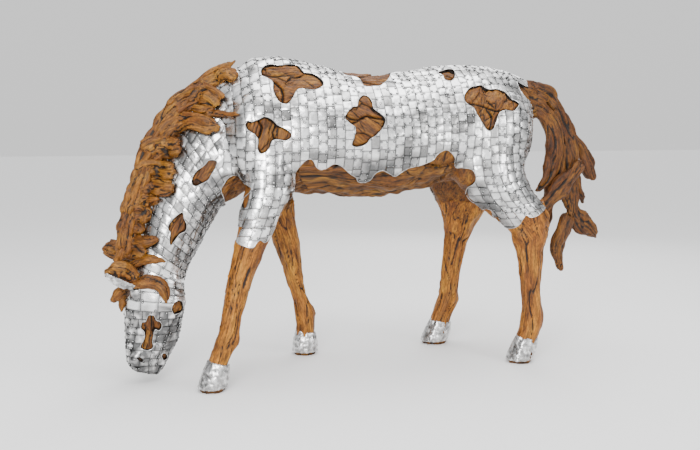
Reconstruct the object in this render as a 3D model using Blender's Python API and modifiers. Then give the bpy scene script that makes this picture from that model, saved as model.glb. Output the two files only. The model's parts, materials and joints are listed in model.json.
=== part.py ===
"""A grazing horse built up of driftwood, clad in hammered sheet metal that is left open in windows.

X runs from the head (-X) to the tail (+X), Z is up, and the horse's left side, the near side, faces -Y.
The places of the figure are given in steps: the withers stand 147 steps above the ground.
"""
import math
import bpy
import bmesh
from mathutils import Vector
from mathutils.bvhtree import BVHTree

# Driving dimensions, in metres.
WITHERS_HEIGHT = 1.47
METAL_THICKNESS = 0.004
METAL_GAP = 0.001
HOOF_METAL_THICKNESS = 0.007
SOLE_HEIGHT = 0.012
JOINT_GAP = 0.0004
HAIR_GAP = 0.001
EAR_LINING_THICKNESS = 0.006

# How finely the one-piece form is worked before it is parted.
FORM_VOXEL_STEPS = 1.2
FORM_SMOOTHING_ROUNDS = 5
FORM_TRIANGLES = 1120
OVAL_POINTS = 20
HOOF_POINTS = 10
LOCK_SIDES = 6
LOCK_STATIONS = 4
WINDOW_POINTS = 13

STEPS_TO_WITHERS = 147
STEP = WITHERS_HEIGHT / STEPS_TO_WITHERS

# Where a person stands to see the near side: openings and locks are laid out from there, in steps.
EYE = (-41.3, -365.9, 115.1)

# How far the feet stand from the middle plane, and the parting faces above them, in steps.
LEG_DISTANCE = 22.4
LEG_PARTING = 10.4
LEG_REACH = 45

# Sections of the trunk: top (x, z), bottom (x, z), half width, how much narrower the top is.
TRUNK = [
    ((13, 128), (16, 94), 9, 0.00),
    ((17, 140), (19, 87), 16, 0.20),
    ((24, 146), (25, 84), 20, 0.33),
    ((32, 147), (34, 83.5), 22.5, 0.33),
    ((42, 146), (43, 84.2), 24.5, 0.22),
    ((55, 143), (55, 84), 26.5, 0.14),
    ((68, 140), (68, 82), 27.5, 0.10),
    ((83, 139.6), (82, 81.8), 27.8, 0.10),
    ((98, 141), (97, 83.7), 27.2, 0.12),
    ((113, 143.8), (110, 87), 26.5, 0.15),
    ((128, 145), (124, 89), 26.5, 0.18),
    ((141, 144.2), (138, 89), 25.5, 0.20),
    ((151, 142.4), (150, 91), 22.5, 0.22),
    ((158, 140.2), (158.5, 96), 17, 0.25),
    ((162, 135), (162, 108), 9, 0.20),
]

# Sections of the neck: crest, throat, half width, how much narrower the crest is.
NECK = [
    ((26, 145), (40, 92), 18, 0.30),
    ((13, 139.5), (30, 86), 16, 0.25),
    ((4, 130.5), (21.5, 86), 13.8, 0.22),
    ((-4, 119.5), (14.5, 83), 11.8, 0.20),
    ((-11, 107), (8.5, 78.5), 10.4, 0.16),
    ((-16.5, 95), (3.2, 70.5), 9.7, 0.12),
    ((-21, 83), (-1.3, 61.8), 9.2, 0.08),
    ((-25, 71), (-5.8, 53.8), 9.0, 0.04),
    ((-28.5, 60), (-8.8, 46.5), 9.0, 0.00),
    ((-30.5, 53.5), (-9.0, 40), 9.2, 0.00),
]

# Sections of the head, which hangs: face (x, z), jaw (x, z), half width, narrowing to the face.
HEAD = [
    ((-29.5, 56), (-10.5, 48), 8.0, 0.00),
    ((-33.5, 47), (-8.8, 42), 9.6, 0.10),
    ((-34.6, 39), (-8.6, 36), 9.9, 0.15),
    ((-34.9, 30), (-9.6, 29.5), 8.8, 0.12),
    ((-34.7, 22), (-11.0, 21.8), 7.1, 0.05),
    ((-34.6, 15), (-14.2, 13.8), 6.4, 0.00),
    ((-34.9, 10), (-17.2, 8.0), 6.6, 0.00),
    ((-33.0, 6.8), (-19.6, 4.6), 5.6, 0.00),
    ((-29.5, 5.0), (-22.0, 3.4), 3.2, 0.00),
]

# Legs: front (x, z), back (x, z), half width, distance from the middle plane. Soles run below the ground.
LEGS = {
    "near_fore": (-1, [
        ((17, 116), (40, 110), 9.5, 13.0),
        ((18.0, 100), (39.5, 96), 9.8, 15.5),
        ((17.2, 90), (38.5, 88), 9.0, 17.0),
        ((15.8, 82), (36, 82), 8.0, 18.5),
        ((13.9, 73), (31, 73), 6.8, 20.0),
        ((11.7, 64.7), (26.6, 64.7), 6.0, 21.0),
        ((10.0, 57), (22.2, 57), 5.3, 21.6),
        ((8.4, 50), (19.7, 50), 5.0, 22.0),
        ((7.2, 44), (18.0, 44), 4.8, 22.2),
        ((6.2, 38.7), (15.8, 38), 4.3, 22.3),
        ((5.4, 32), (14.0, 32), 4.0, LEG_DISTANCE),
        ((4.2, 25.5), (12.2, 25), 4.3, LEG_DISTANCE),
        ((2.2, 21), (11.6, 20), 4.7, LEG_DISTANCE),
        ((0.2, 16), (9.6, 15), 4.7, LEG_DISTANCE),
        ((-1.8, 10), (7.8, 9), 5.0, LEG_DISTANCE),
        ((-5.4, 0), (6.4, 0), 5.7, LEG_DISTANCE),
        ((-6.1, -3), (6.3, -3), 5.9, LEG_DISTANCE)]),
    "far_fore": (1, [
        ((17, 116), (41, 110), 9.5, 13.0),
        ((20.0, 100), (42, 96), 9.8, 15.5),
        ((24.0, 88), (45, 87), 8.7, 17.0),
        ((28.0, 78), (47.6, 79), 7.4, 18.5),
        ((33.0, 69), (49.0, 70), 6.4, 20.0),
        ((37.0, 60), (50.1, 61), 5.5, 21.0),
        ((39.5, 52), (51.1, 52.5), 5.1, 21.8),
        ((41.7, 45), (52.1, 45.5), 4.9, 22.2),
        ((44.0, 38), (53.3, 38), 4.3, 22.3),
        ((46.0, 32), (55.0, 31), 4.1, LEG_DISTANCE),
        ((47.8, 26), (57.3, 24.5), 4.5, LEG_DISTANCE),
        ((48.4, 21), (58.7, 20.5), 4.9, LEG_DISTANCE),
        ((48.9, 15.5), (58.6, 14.5), 4.8, LEG_DISTANCE),
        ((48.4, 10), (58.6, 9), 5.0, LEG_DISTANCE),
        ((47.6, 0), (59.7, 0), 5.7, LEG_DISTANCE),
        ((47.4, -3), (60.0, -3), 5.9, LEG_DISTANCE)]),
    "near_hind": (-1, [
        ((112, 118), (153, 112), 12.5, 13.0),
        ((114, 102), (155, 101), 13.0, 14.8),
        ((118, 90), (153.5, 93), 12.5, 16.5),
        ((125, 81.5), (156.5, 85.5), 10.8, 18.2),
        ((134.5, 73.5), (161.5, 79), 8.6, 19.6),
        ((142.5, 67.5), (166.0, 73.5), 7.0, 20.6),
        ((146.2, 64), (166.6, 69), 6.1, 21.2),
        ((147.3, 60.5), (165.2, 61.5), 5.5, 21.6),
        ((148.7, 55), (163.4, 56), 4.8, 22.0),
        ((150.2, 46), (162.9, 47), 4.5, 22.2),
        ((151.7, 34), (162.5, 34), 4.3, LEG_DISTANCE),
        ((152.6, 24), (162.7, 24), 4.5, LEG_DISTANCE),
        ((152.2, 18), (162.9, 18), 4.9, LEG_DISTANCE),
        ((149.8, 12.5), (161.0, 11.5), 5.0, LEG_DISTANCE),
        ((145.2, 0), (157.0, 0), 5.7, LEG_DISTANCE),
        ((144.9, -3), (157.0, -3), 5.9, LEG_DISTANCE)]),
    "far_hind": (1, [
        ((112, 118), (152, 112), 12.5, 13.0),
        ((113, 102), (154.5, 100), 13.0, 14.8),
        ((116.5, 91), (153.5, 90), 12.5, 16.5),
        ((120.8, 81.5), (152.5, 79), 10.3, 18.2),
        ((126.0, 74), (151.0, 71.5), 8.1, 19.6),
        ((128.6, 67.5), (149.0, 66), 6.3, 20.8),
        ((130.0, 61), (146.0, 59.5), 5.5, 21.6),
        ((129.6, 54), (142.9, 53), 4.8, 22.0),
        ((129.1, 46), (141.1, 45), 4.5, 22.2),
        ((128.4, 36), (139.4, 34), 4.3, LEG_DISTANCE),
        ((127.5, 26), (138.2, 25), 4.5, LEG_DISTANCE),
        ((125.8, 20), (137.6, 19), 4.9, LEG_DISTANCE),
        ((123.0, 14), (134.4, 13), 5.0, LEG_DISTANCE),
        ((118.1, 0), (131.4, 0), 5.7, LEG_DISTANCE),
        ((117.7, -3), (131.6, -3), 5.9, LEG_DISTANCE)]),
}

# Muscles and bones that swell from the form on both sides: centre (x, y, z) and half sizes.
SWELLINGS = [
    ((-16.0, 6.0, 37.5), (7.5, 4.4, 7.5)),
    ((-28.5, 5.2, 42.5), (4.5, 4.6, 3.6)),
    ((-30.0, 3.6, 11.5), (4.2, 3.6, 4.0)),
    ((25.0, 15.0, 110.0), (13.0, 8.6, 21.0)),
    ((139.0, 16.0, 113.0), (18.0, 11.0, 21.0)),
    ((12.0, 7.0, 98.0), (7.0, 7.0, 9.0)),
    ((157.0, 1.0, 134.5), (7.0, 6.5, 5.2)),
]

# Metal hooves: top front, top back, sole front, sole back (x, z), half width of the wood inside at both.
HOOVES = {
    "near_fore": ((-2.6, 13.8), (9.2, 11.8), (-6.1, 0), (7.2, 0), 5.0, 5.7),
    "far_fore": ((47.3, 13.0), (59.6, 11.4), (46.9, 0), (60.3, 0), 4.9, 5.6),
    "near_hind": ((148.4, 13.2), (162.4, 11.6), (144.5, 0), (157.9, 0), 5.0, 5.7),
    "far_hind": ((121.4, 13.2), (135.4, 11.2), (117.3, 0), (132.3, 0), 5.0, 5.7),
}

# Where each leg is parted from the body: x from, x to, height of the joint, inner face.
LEG_ZONES = {
    "near_fore": (-10, 60, 76, LEG_PARTING),
    "far_fore": (-10, 70, 76, LEG_PARTING),
    "near_hind": (105, 175, 76, 0.1),
    "far_hind": (105, 175, 76, 0.1),
}
# The bare log along the belly: x from, x to, height of its flat top.
BELLY_LOG = (40.5, 113.5, 98)
BELLY_LOG_LOW = 60

# Windows in the metal: plane y on which they are laid out, then ovals (x, z, half width, half height).
WINDOWS = {
    "withers": (-17, [(28.1, 138.5, 2.4, 2.5), (37.6, 139.7, 7.6, 2.3), (44.8, 134.5, 8.5, 3.4),
                      (35.4, 130.4, 4.9, 5.4)]),
    "shoulder": (-24, [(25.2, 114.9, 6.5, 3.9), (33.7, 112.0, 3.6, 2.6), (25.1, 107.1, 2.6, 3.5),
                       (18.2, 116.4, 2.0, 1.7)]),
    "barrel": (-27, [(69.5, 125.9, 3.3, 2.7), (69.3, 119.9, 8.9, 4.0), (70.9, 113.4, 6.2, 4.5),
                     (66.7, 108.3, 3.6, 2.7)]),
    "saddle": (-10, [(78.7, 135.4, 6.1, 2.0), (79.3, 138.6, 7.0, 1.8), (69.0, 139.2, 5.5, 1.1)]),
    "croup": (-10, [(115.8, 140.4, 3.9, 1.9), (117.7, 137.8, 2.4, 1.7)]),
    "haunch": (-22, [(126.7, 129.2, 6.7, 4.3), (136.2, 126.7, 8.7, 3.9), (145.8, 125.5, 2.4, 2.2),
                     (132.7, 119.5, 4.8, 6.3)]),
    "neck": (-12, [(2.9, 97.6, 3.6, 2.0), (-1.4, 93.1, 3.6, 2.2), (1.5, 93.9, 2.6, 2.0)]),
    "throat": (-12, [(13.8, 90.4, 3.6, 3.1), (16.0, 87.2, 3.6, 2.4), (10.6, 85.5, 2.7, 2.7)]),
    "nape": (-10, [(-10.7, 73.3, 3.6, 4.0), (-12.7, 68.8, 2.5, 4.1), (-9.5, 76.6, 1.5, 2.2)]),
    "cheek": (-9, [(-24.1, 30.9, 1.8, 2.0), (-23.7, 28.0, 4.4, 1.9), (-24.8, 23.9, 1.9, 5.0),
                   (-25.9, 18.8, 2.5, 1.8)]),
    "jaw": (-6, [(-11.7, 36.0, 2.1, 2.1), (-13.1, 33.4, 1.9, 1.9)]),
    "chin": (-5, [(-18.7, 12.1, 1.6, 1.9)]),
}
# The far side repeats some of them, moved along the body (x, z).
FAR_WINDOWS = {
    "withers": (6, -8),
    "barrel": (22, 2),
    "haunch": (-2, -6),
    "cheek": (0, 1),
}
WINDOW_DEPTH = 7
DEEP_WINDOWS = {"saddle": 11, "croup": 9}

# Lower edge of the metal on the trunk, from the elbow back over the log to the flank (x, z).
BELLY_EDGE = [
    (38.1, 96.4), (41.7, 100.7), (45.3, 101.1), (47.5, 97.1), (52.1, 96.6), (55.3, 98.8),
    (59.4, 97.4), (64.1, 95.1), (68.8, 92.0), (74.4, 94.5), (78.2, 95.8), (83.0, 93.6),
    (90.7, 99.2), (97.6, 99.1), (106.6, 104.4), (110.5, 104.2), (113.8, 97.0), (119.1, 96.7),
    (124.6, 93.5), (124.0, 89.0), (119.4, 84.4),
]
# The point of it that follows each side's foreleg edge.
BELLY_START = {-1: 1, 1: 2}
# Lower edge on the thigh and the hock, and on the upper foreleg, for the side that each leg is on.
HIND_EDGE = {
    -1: [(127.8, 77.2), (137.4, 70.2), (143.3, 67.1), (147.0, 68.9), (150.1, 71.2), (153.9, 69.2),
         (157.6, 71.9), (163.0, 76.5), (175.0, 80.0)],
    1: [(121.0, 80.0), (126.0, 75.5), (131.0, 69.0), (136.0, 71.0), (141.0, 68.5), (146.0, 72.0),
        (152.0, 76.5), (175.0, 82.0)],
}
FORE_EDGE = {
    -1: [(4.0, 70.5), (12.2, 66.7), (16.9, 63.0), (21.3, 65.8), (26.6, 63.8), (33.0, 74.0), (38.3, 86.0)],
    1: [(20.0, 72.0), (31.0, 67.5), (37.0, 63.5), (42.0, 66.5), (50.0, 63.5), (52.0, 74.0), (46.5, 88.0)],
}
EDGE_PLANE = -25
# How far the cut along that edge reaches outward, and inward past the middle plane.
EDGE_OUTWARD = 25
EDGE_INWARD = 25.3
# What lies this far out and this low is bare leg: x from, x to, height. All cuts start under the ground.
BARE_FORELEGS = (-12, 70, 60)
BARE_REACH = 50
UNDER_GROUND = -6
# Between the legs the metal stops at these heights, this far from the middle plane on each side.
INNER_EDGE_FORE = (10, 105, 79)
INNER_EDGE_HIND = (104, 180, 92)
INNER_EDGE_WIDTH = {-1: 17.5, 1: 21.5}

# Locks of the mane: route (x, z) from the crest, half width, half thickness, width left at the tip.
MANE_PLANE = -6
CREST_Y = -1.2
# A lock lies this share of its thickness above the metal, grows to full width here, and tapers beyond.
LOCK_LIFT = 0.55
LOCK_FULL = 0.45
LOCK_ROOT_WIDTH = 0.8
LOCK_TAPER_POWER = 1.6
LOCK_THIN = 0.45
MANE = {
    "mane_crest_1": ([(5.0, 137.5), (-4.0, 131.0), (-12.6, 124.5)], 3.2, 2.8, 0.6),
    "mane_crest_2": ([(-8.5, 127.0), (-12.0, 119.5), (-16.5, 111.5)], 3.2, 2.8, 0.6),
    "mane_crest_3": ([(-17.6, 110.8), (-21.6, 102.9), (-24.4, 94.7)], 3.0, 2.8, 0.6),
    "mane_crest_4": ([(-24.6, 96.5), (-28.0, 87.9), (-30.4, 78.8)], 3.0, 2.8, 0.6),
    "mane_crest_5": ([(-30.2, 79.6), (-32.0, 72.2), (-33.4, 64.4)], 3.0, 2.6, 0.6),
    "mane_lock_1": ([(1.4, 134.2), (9.0, 140.0), (15.5, 144.7)], 2.6, 2.4, 0.55),
    "mane_lock_2": ([(2.6, 132.4), (9.8, 135.8), (18.0, 134.4)], 5.4, 2.4, 0.80),
    "mane_lock_3": ([(-8.0, 124.6), (0.9, 128.5), (10.4, 123.4)], 6.0, 2.4, 0.60),
    "mane_lock_4": ([(-5.6, 119.8), (0.5, 122.2), (5.6, 123.0)], 2.2, 1.7, 0.60),
    "mane_lock_5": ([(6.0, 122.2), (12.5, 122.6), (20.2, 119.9)], 2.2, 1.5, 0.50),
    "mane_lock_6": ([(-17.4, 110.3), (-10.5, 116.9), (0.6, 116.9), (11.0, 114.0)], 6.0, 2.5, 0.80),
    "mane_lock_7": ([(-20.6, 104.0), (-15.0, 104.6), (-7.0, 103.0)], 6.8, 2.4, 0.85),
    "mane_lock_8": ([(-24.4, 94.4), (-19.0, 95.8), (-9.8, 95.4)], 5.4, 2.4, 0.90),
    "mane_lock_9": ([(-26.0, 87.2), (-20.5, 88.4), (-10.2, 88.1)], 4.9, 2.4, 0.85),
    "mane_lock_10": ([(-27.6, 81.2), (-22.8, 82.2), (-15.9, 83.3)], 2.7, 2.0, 0.60),
    "mane_lock_11": ([(-29.4, 75.0), (-26.0, 77.4), (-21.8, 74.4)], 3.2, 2.2, 0.60),
    "mane_lock_12": ([(-30.9, 69.8), (-27.2, 70.4), (-21.8, 69.6)], 2.2, 2.2, 0.60),
    "mane_lock_13": ([(-31.1, 65.8), (-27.4, 66.5), (-23.3, 65.3), (-17.6, 67.4)], 2.3, 2.0, 0.30),
    "mane_lock_14": ([(-32.5, 60.4), (-28.4, 61.0), (-22.3, 59.4)], 4.1, 2.2, 0.50),
    "mane_lock_15": ([(-32.6, 55.4), (-34.0, 58.4), (-35.0, 61.0)], 2.7, 2.0, 0.60),
    "forelock_1": ([(-31.0, 50.6), (-25.3, 56.1), (-16.0, 55.4)], 4.0, 2.0, 0.35),
    "forelock_2": ([(-30.6, 45.4), (-24.2, 47.7), (-18.7, 45.2), (-17.2, 36.8)], 2.9, 1.9, 0.50),
    "forelock_3": ([(-33.0, 45.6), (-37.0, 41.6), (-41.2, 38.7)], 3.7, 2.0, 0.20),
    "forelock_4": ([(-35.0, 41.6), (-36.3, 37.4), (-36.8, 33.2)], 2.2, 1.7, 0.20),
}
# The far side of the neck carries a few plainer ones.
FAR_MANE = {
    "mane_far_1": ([(0.0, 131.0), (6.0, 127.0), (14.0, 124.0)], 4.0, 2.0, 0.6),
    "mane_far_2": ([(-14.0, 113.0), (-5.0, 112.0), (4.0, 108.0)], 4.4, 2.0, 0.7),
    "mane_far_3": ([(-22.0, 98.0), (-14.0, 97.0), (-7.0, 93.0)], 4.2, 2.0, 0.7),
    "mane_far_4": ([(-28.0, 78.0), (-21.0, 79.0), (-14.0, 76.0)], 3.6, 2.0, 0.6),
}

# Tail: a root and its strands, each a route of (x, y, z, half width, half thickness).
TAIL = {
    "tail_root": [(157, 0, 131, 4.5, 4.5), (164, 0, 131, 6.6, 5.4), (171, 0, 128.5, 8.0, 5.4),
                  (176, 0, 123, 6.0, 4.2)],
    "tail_strand_inner": [(169, -3, 125, 3.4, 2.8), (175.0, -4, 118, 4.4, 2.8), (177.0, -4, 108, 4.2, 2.6),
                          (175.8, -3.5, 98, 3.0, 2.2), (173.5, -3.5, 88.9, 2.0, 1.8),
                          (168.6, -3.5, 82.6, 0.8, 0.8)],
    "tail_strand_middle": [(177, 0.5, 127, 4.0, 2.8), (184.5, 0.5, 115, 5.8, 3.0),
                           (187.5, 0.5, 102, 6.2, 3.2), (191.0, 0.5, 90, 5.4, 3.0), (192, 0, 80, 4.8, 2.8),
                           (191.0, 0, 69, 4.4, 2.5)],
    "tail_strand_outer": [(175.0, 3.5, 134.4, 2.8, 2.6), (181.9, 4.5, 129.2, 3.3, 2.6),
                          (189.0, 5.0, 119.0, 3.1, 2.5), (195.2, 5.0, 110.0, 2.9, 2.4),
                          (200.8, 4.5, 101.8, 3.3, 2.6), (205.0, 4.0, 93.5, 4.4, 3.0),
                          (208.4, 4.0, 87.0, 3.4, 2.6)],
    "tail_plank": [(192.5, -6.2, 96.0, 2.6, 1.8), (185.5, -7.2, 88.0, 3.6, 2.0),
                   (176.0, -7.6, 79.5, 3.8, 2.0), (169.0, -7.8, 74.0, 2.4, 1.4)],
    "tail_tip_low": [(189.0, -1.5, 71.0, 3.8, 2.4), (185.5, -2, 61.5, 3.9, 2.4), (184.0, -2, 52.5, 3.0, 2.0),
                     (185.0, -2, 45.0, 1.8, 1.4), (185.9, -2, 39.5, 0.5, 0.5)],
    "tail_tip_back": [(193.5, 1.5, 74.0, 3.4, 2.2), (198.5, 2, 66.4, 4.6, 2.6), (203.8, 2, 61.0, 3.4, 2.0),
                      (209.2, 2, 55.8, 1.0, 0.9)],
    "tail_spur": [(195.0, 3.8, 92.0, 2.8, 2.0), (198.8, 4.4, 83.0, 2.6, 1.8), (202.4, 4.6, 74.0, 0.9, 0.8)],
    "tail_strand_deep": [(182.0, 5.0, 86.0, 2.6, 1.8), (181.6, 5.4, 73.0, 2.6, 1.8),
                         (180.4, 5.4, 61.0, 2.0, 1.5), (178.4, 5.4, 51.0, 0.5, 0.5)],
}

# Ears, for the near side: route (x, y, z, half width, half thickness). The lining lies under the near one.
EAR = [(-29.5, -7.6, 47.6, 3.0, 1.8), (-34.5, -9.2, 50.0, 4.7, 2.0), (-39.5, -10.4, 52.6, 3.9, 1.8),
       (-43.8, -11.0, 55.6, 1.0, 0.9)]
FAR_EAR = [(-30.5, 7.0, 53.0, 2.6, 1.8), (-35.5, 8.2, 57.4, 4.0, 1.8), (-40.0, 9.0, 61.0, 3.3, 1.6),
           (-43.0, 9.4, 63.2, 1.2, 0.9)]
EAR_FACING = Vector((-0.25, -1.0, -0.15))
FAR_EAR_FACING = Vector((-0.25, 1.0, -0.15))
TAIL_FACING = Vector((0, -1, 0))
EAR_LINING_HALF = EAR_LINING_THICKNESS / STEP / 2
EAR_LINING = [(-31.0, -10.0, 45.4, 1.6, EAR_LINING_HALF), (-35.5, -12.0, 47.2, 2.8, EAR_LINING_HALF),
              (-39.8, -12.8, 50.0, 2.2, EAR_LINING_HALF), (-42.6, -12.6, 52.6, 0.8, EAR_LINING_HALF)]
EAR_LINING_FACING = Vector((-0.25, -0.9, -0.55))

WOOD = ("driftwood", (0.42, 0.22, 0.08), 0.55, 0.0)
METAL = ("hammered_metal", (0.78, 0.78, 0.79), 0.25, 1.0)


def at(x, y, z):
    """A place in steps, as a point in metres."""
    return Vector((x, y, z)) * STEP


def clear_scene():
    for old in list(bpy.data.objects):
        bpy.data.objects.remove(old, do_unlink=True)


def make_material(finish):
    name, colour, roughness, metallic = finish
    material = bpy.data.materials.get(name) or bpy.data.materials.new(name)
    material.use_nodes = True
    shader = material.node_tree.nodes["Principled BSDF"]
    shader.inputs["Base Color"].default_value = (*colour, 1.0)
    shader.inputs["Roughness"].default_value = roughness
    shader.inputs["Metallic"].default_value = metallic
    return material


def link(name, mesh, collection):
    obj = bpy.data.objects.new(name, mesh)
    collection.objects.link(obj)
    return obj


def loft(name, rings, collection):
    """A closed solid through rings of equally many points, each end closed by a fan."""
    bm = bmesh.new()
    rows = [[bm.verts.new(point) for point in ring] for ring in rings]
    count = len(rows[0])
    for low, high in zip(rows, rows[1:]):
        for i in range(count):
            j = (i + 1) % count
            bm.faces.new((low[i], low[j], high[j]))
            bm.faces.new((low[i], high[j], high[i]))
    for row in (rows[0], rows[-1]):
        middle = sum((vert.co for vert in row), Vector()) / count
        centre = bm.verts.new(middle)
        for i in range(count):
            bm.faces.new((row[i], row[(i + 1) % count], centre))
    bmesh.ops.recalc_face_normals(bm, faces=bm.faces)
    mesh = bpy.data.meshes.new(name)
    bm.to_mesh(mesh)
    bm.free()
    return link(name, mesh, collection)


def oval(upper, lower, half_width, narrowing, centre_y, count=OVAL_POINTS):
    """An oval ring whose height runs from one point of the side view to another."""
    ring = []
    for i in range(count):
        turn = 2 * math.pi * i / count
        rise = math.sin(turn)
        share = (1 + rise) / 2
        x = lower[0] + (upper[0] - lower[0]) * share
        z = lower[1] + (upper[1] - lower[1]) * share
        y = centre_y + half_width * math.cos(turn) * (1 - narrowing * rise)
        ring.append(at(x, y, z))
    return ring


def swelling(centre, half_sizes, side, collection):
    """An egg of wood that swells from the form on one side."""
    mesh = bpy.data.meshes.new("swelling")
    bm = bmesh.new()
    bmesh.ops.create_uvsphere(bm, u_segments=20, v_segments=12, radius=1.0)
    for vert in bm.verts:
        place = [centre[axis] + vert.co[axis] * half_sizes[axis] for axis in range(3)]
        vert.co = at(place[0], place[1] * side, place[2])
    bmesh.ops.recalc_face_normals(bm, faces=bm.faces)
    bm.to_mesh(mesh)
    bm.free()
    return link("swelling", mesh, collection)


def settle(obj):
    """Replaces an object's mesh by what its modifiers make of it."""
    graph = bpy.context.evaluated_depsgraph_get()
    graph.update()
    mesh = bpy.data.meshes.new_from_object(obj.evaluated_get(graph))
    obj.modifiers.clear()
    obj.data = mesh
    return obj


def combine(obj, others, operation):
    """Cuts others from an object, or keeps what it shares with them."""
    operands = bpy.data.collections.new("operands")
    bpy.context.scene.collection.children.link(operands)
    for other in others:
        operands.objects.link(other)
    boolean = obj.modifiers.new("combine", "BOOLEAN")
    boolean.solver = "EXACT"
    boolean.operation = operation
    boolean.operand_type = "COLLECTION"
    boolean.collection = operands
    settle(obj)
    for other in others:
        bpy.data.objects.remove(other, do_unlink=True)
    bpy.data.collections.remove(operands)
    return obj


def swollen(obj, name, distance, collection):
    """A copy of a solid with its whole surface moved outwards."""
    copy = link(name, obj.data.copy(), collection)
    displace = copy.modifiers.new("grow", "DISPLACE")
    displace.mid_level = 0.0
    displace.strength = distance
    return settle(copy)


def box(name, low, high, collection):
    """A block between two corners given in steps."""
    mesh = bpy.data.meshes.new(name)
    bm = bmesh.new()
    bmesh.ops.create_cube(bm, size=1.0)
    for vert in bm.verts:
        place = [low[axis] if vert.co[axis] < 0 else high[axis] for axis in range(3)]
        vert.co = at(*place)
    bm.to_mesh(mesh)
    bm.free()
    return link(name, mesh, collection)


def carve_form(collection):
    """The whole horse as one carved form: trunk, neck, head and legs run into each other."""
    shapes = []
    for sections in (TRUNK, NECK, HEAD):
        rings = [oval(upper, lower, width, narrowing, 0) for upper, lower, width, narrowing in sections]
        shapes.append(loft("shape", rings, collection))
    for side, sections in LEGS.values():
        rings = [oval(front, back, width, 0, side * y) for front, back, width, y in sections]
        shapes.append(loft("shape", rings, collection))
    for centre, half_sizes in SWELLINGS:
        for side in (-1, 1):
            shapes.append(swelling(centre, half_sizes, side, collection))
    bm = bmesh.new()
    for shape in shapes:
        bm.from_mesh(shape.data)
        bpy.data.objects.remove(shape, do_unlink=True)
    mesh = bpy.data.meshes.new("form")
    bm.to_mesh(mesh)
    bm.free()
    form = link("form", mesh, collection)
    remesh = form.modifiers.new("voxels", "REMESH")
    remesh.mode = "VOXEL"
    remesh.voxel_size = FORM_VOXEL_STEPS * STEP
    smooth = form.modifiers.new("smooth", "SMOOTH")
    smooth.iterations = FORM_SMOOTHING_ROUNDS
    settle(form)
    form.data.calc_loop_triangles()
    decimate = form.modifiers.new("facets", "DECIMATE")
    decimate.ratio = FORM_TRIANGLES / len(form.data.loop_triangles)
    return settle(form)


def leg_block(name, gap, collection):
    """The block of space that holds one leg below its joint, a little larger by a gap."""
    side = LEGS[name][0]
    start, end, height, inner = LEG_ZONES[name]
    near, far = sorted((side * (inner - gap), side * LEG_REACH))
    return box(name, (start, near, 0), (end, far, height + gap), collection)


def log_block(gap, collection):
    start, end, height = BELLY_LOG
    low = (start - gap, -LEG_REACH, BELLY_LOG_LOW)
    return box("log", low, (end + gap, LEG_REACH, height + gap), collection)


def window_outline(ovals):
    """The outline round overlapping ovals, seen from their common centre."""
    weight = sum(half_x * half_z for _, _, half_x, half_z in ovals)
    centre_x = sum(x * half_x * half_z for x, _, half_x, half_z in ovals) / weight
    centre_z = sum(z * half_x * half_z for _, z, half_x, half_z in ovals) / weight
    outline = []
    for i in range(WINDOW_POINTS):
        turn = 2 * math.pi * i / WINDOW_POINTS
        across, up = math.cos(turn), math.sin(turn)
        reaches = []
        for x, z, half_x, half_z in ovals:
            from_x, from_z = (centre_x - x) / half_x, (centre_z - z) / half_z
            run_x, run_z = across / half_x, up / half_z
            a = run_x ** 2 + run_z ** 2
            b = from_x * run_x + from_z * run_z
            c = from_x ** 2 + from_z ** 2 - 1
            if b * b >= a * c:
                reaches.append((-b + math.sqrt(b * b - a * c)) / a)
        reach = max(reaches)
        outline.append((centre_x + across * reach, centre_z + up * reach))
    return outline


def sight_cutter(outline, plane, outward, inward, side, collection):
    """A block that runs along the lines of sight through an outline on the plane y = plane."""
    eye = Vector((EYE[0], -EYE[1] * side, EYE[2]))
    rings = []
    for depth in (plane - outward, plane + inward):
        ring = []
        for x, z in outline:
            target = Vector((x, -plane * side, z))
            share = (-depth * side - eye.y) / (target.y - eye.y)
            ring.append(at(*eye.lerp(target, share)))
        rings.append(ring)
    bm = bmesh.new()
    rows = [[bm.verts.new(point) for point in ring] for ring in rings]
    count = len(outline)
    for i in range(count):
        j = (i + 1) % count
        bm.faces.new((rows[0][i], rows[0][j], rows[1][j], rows[1][i]))
    bm.faces.new(rows[0])
    bm.faces.new(rows[1])
    bmesh.ops.recalc_face_normals(bm, faces=bm.faces)
    mesh = bpy.data.meshes.new("cutter")
    bm.to_mesh(mesh)
    bm.free()
    return link("cutter", mesh, collection)


def metal_cutters(collection):
    """Everything that is cut from the metal: the windows, and all below its lower edge."""
    cutters = []
    for name, (plane, ovals) in WINDOWS.items():
        depth = DEEP_WINDOWS.get(name, WINDOW_DEPTH)
        cutters.append(sight_cutter(window_outline(ovals), plane, depth, depth, -1, collection))
        if name in FAR_WINDOWS:
            shift_x, shift_z = FAR_WINDOWS[name]
            moved = [(x + shift_x, z + shift_z, half_x, half_z) for x, z, half_x, half_z in ovals]
            cutters.append(sight_cutter(window_outline(moved), plane, depth, depth, 1, collection))
    for side in (-1, 1):
        below = [(180, UNDER_GROUND), (4, UNDER_GROUND)]
        belly = BELLY_EDGE[BELLY_START[side]:]
        edge = FORE_EDGE[side] + belly + HIND_EDGE[side] + below
        cutters.append(sight_cutter(edge, EDGE_PLANE, EDGE_OUTWARD, EDGE_INWARD, side, collection))
        start, end, height = BARE_FORELEGS
        low, high = sorted((side * LEG_PARTING, side * BARE_REACH))
        cutters.append(box("cutter", (start, low, UNDER_GROUND), (end, high, height), collection))
    for start, end, height in (INNER_EDGE_FORE, INNER_EDGE_HIND):
        low = -INNER_EDGE_WIDTH[-1]
        high = INNER_EDGE_WIDTH[1]
        cutters.append(box("cutter", (start, low, UNDER_GROUND), (end, high, height), collection))
    return cutters


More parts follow.
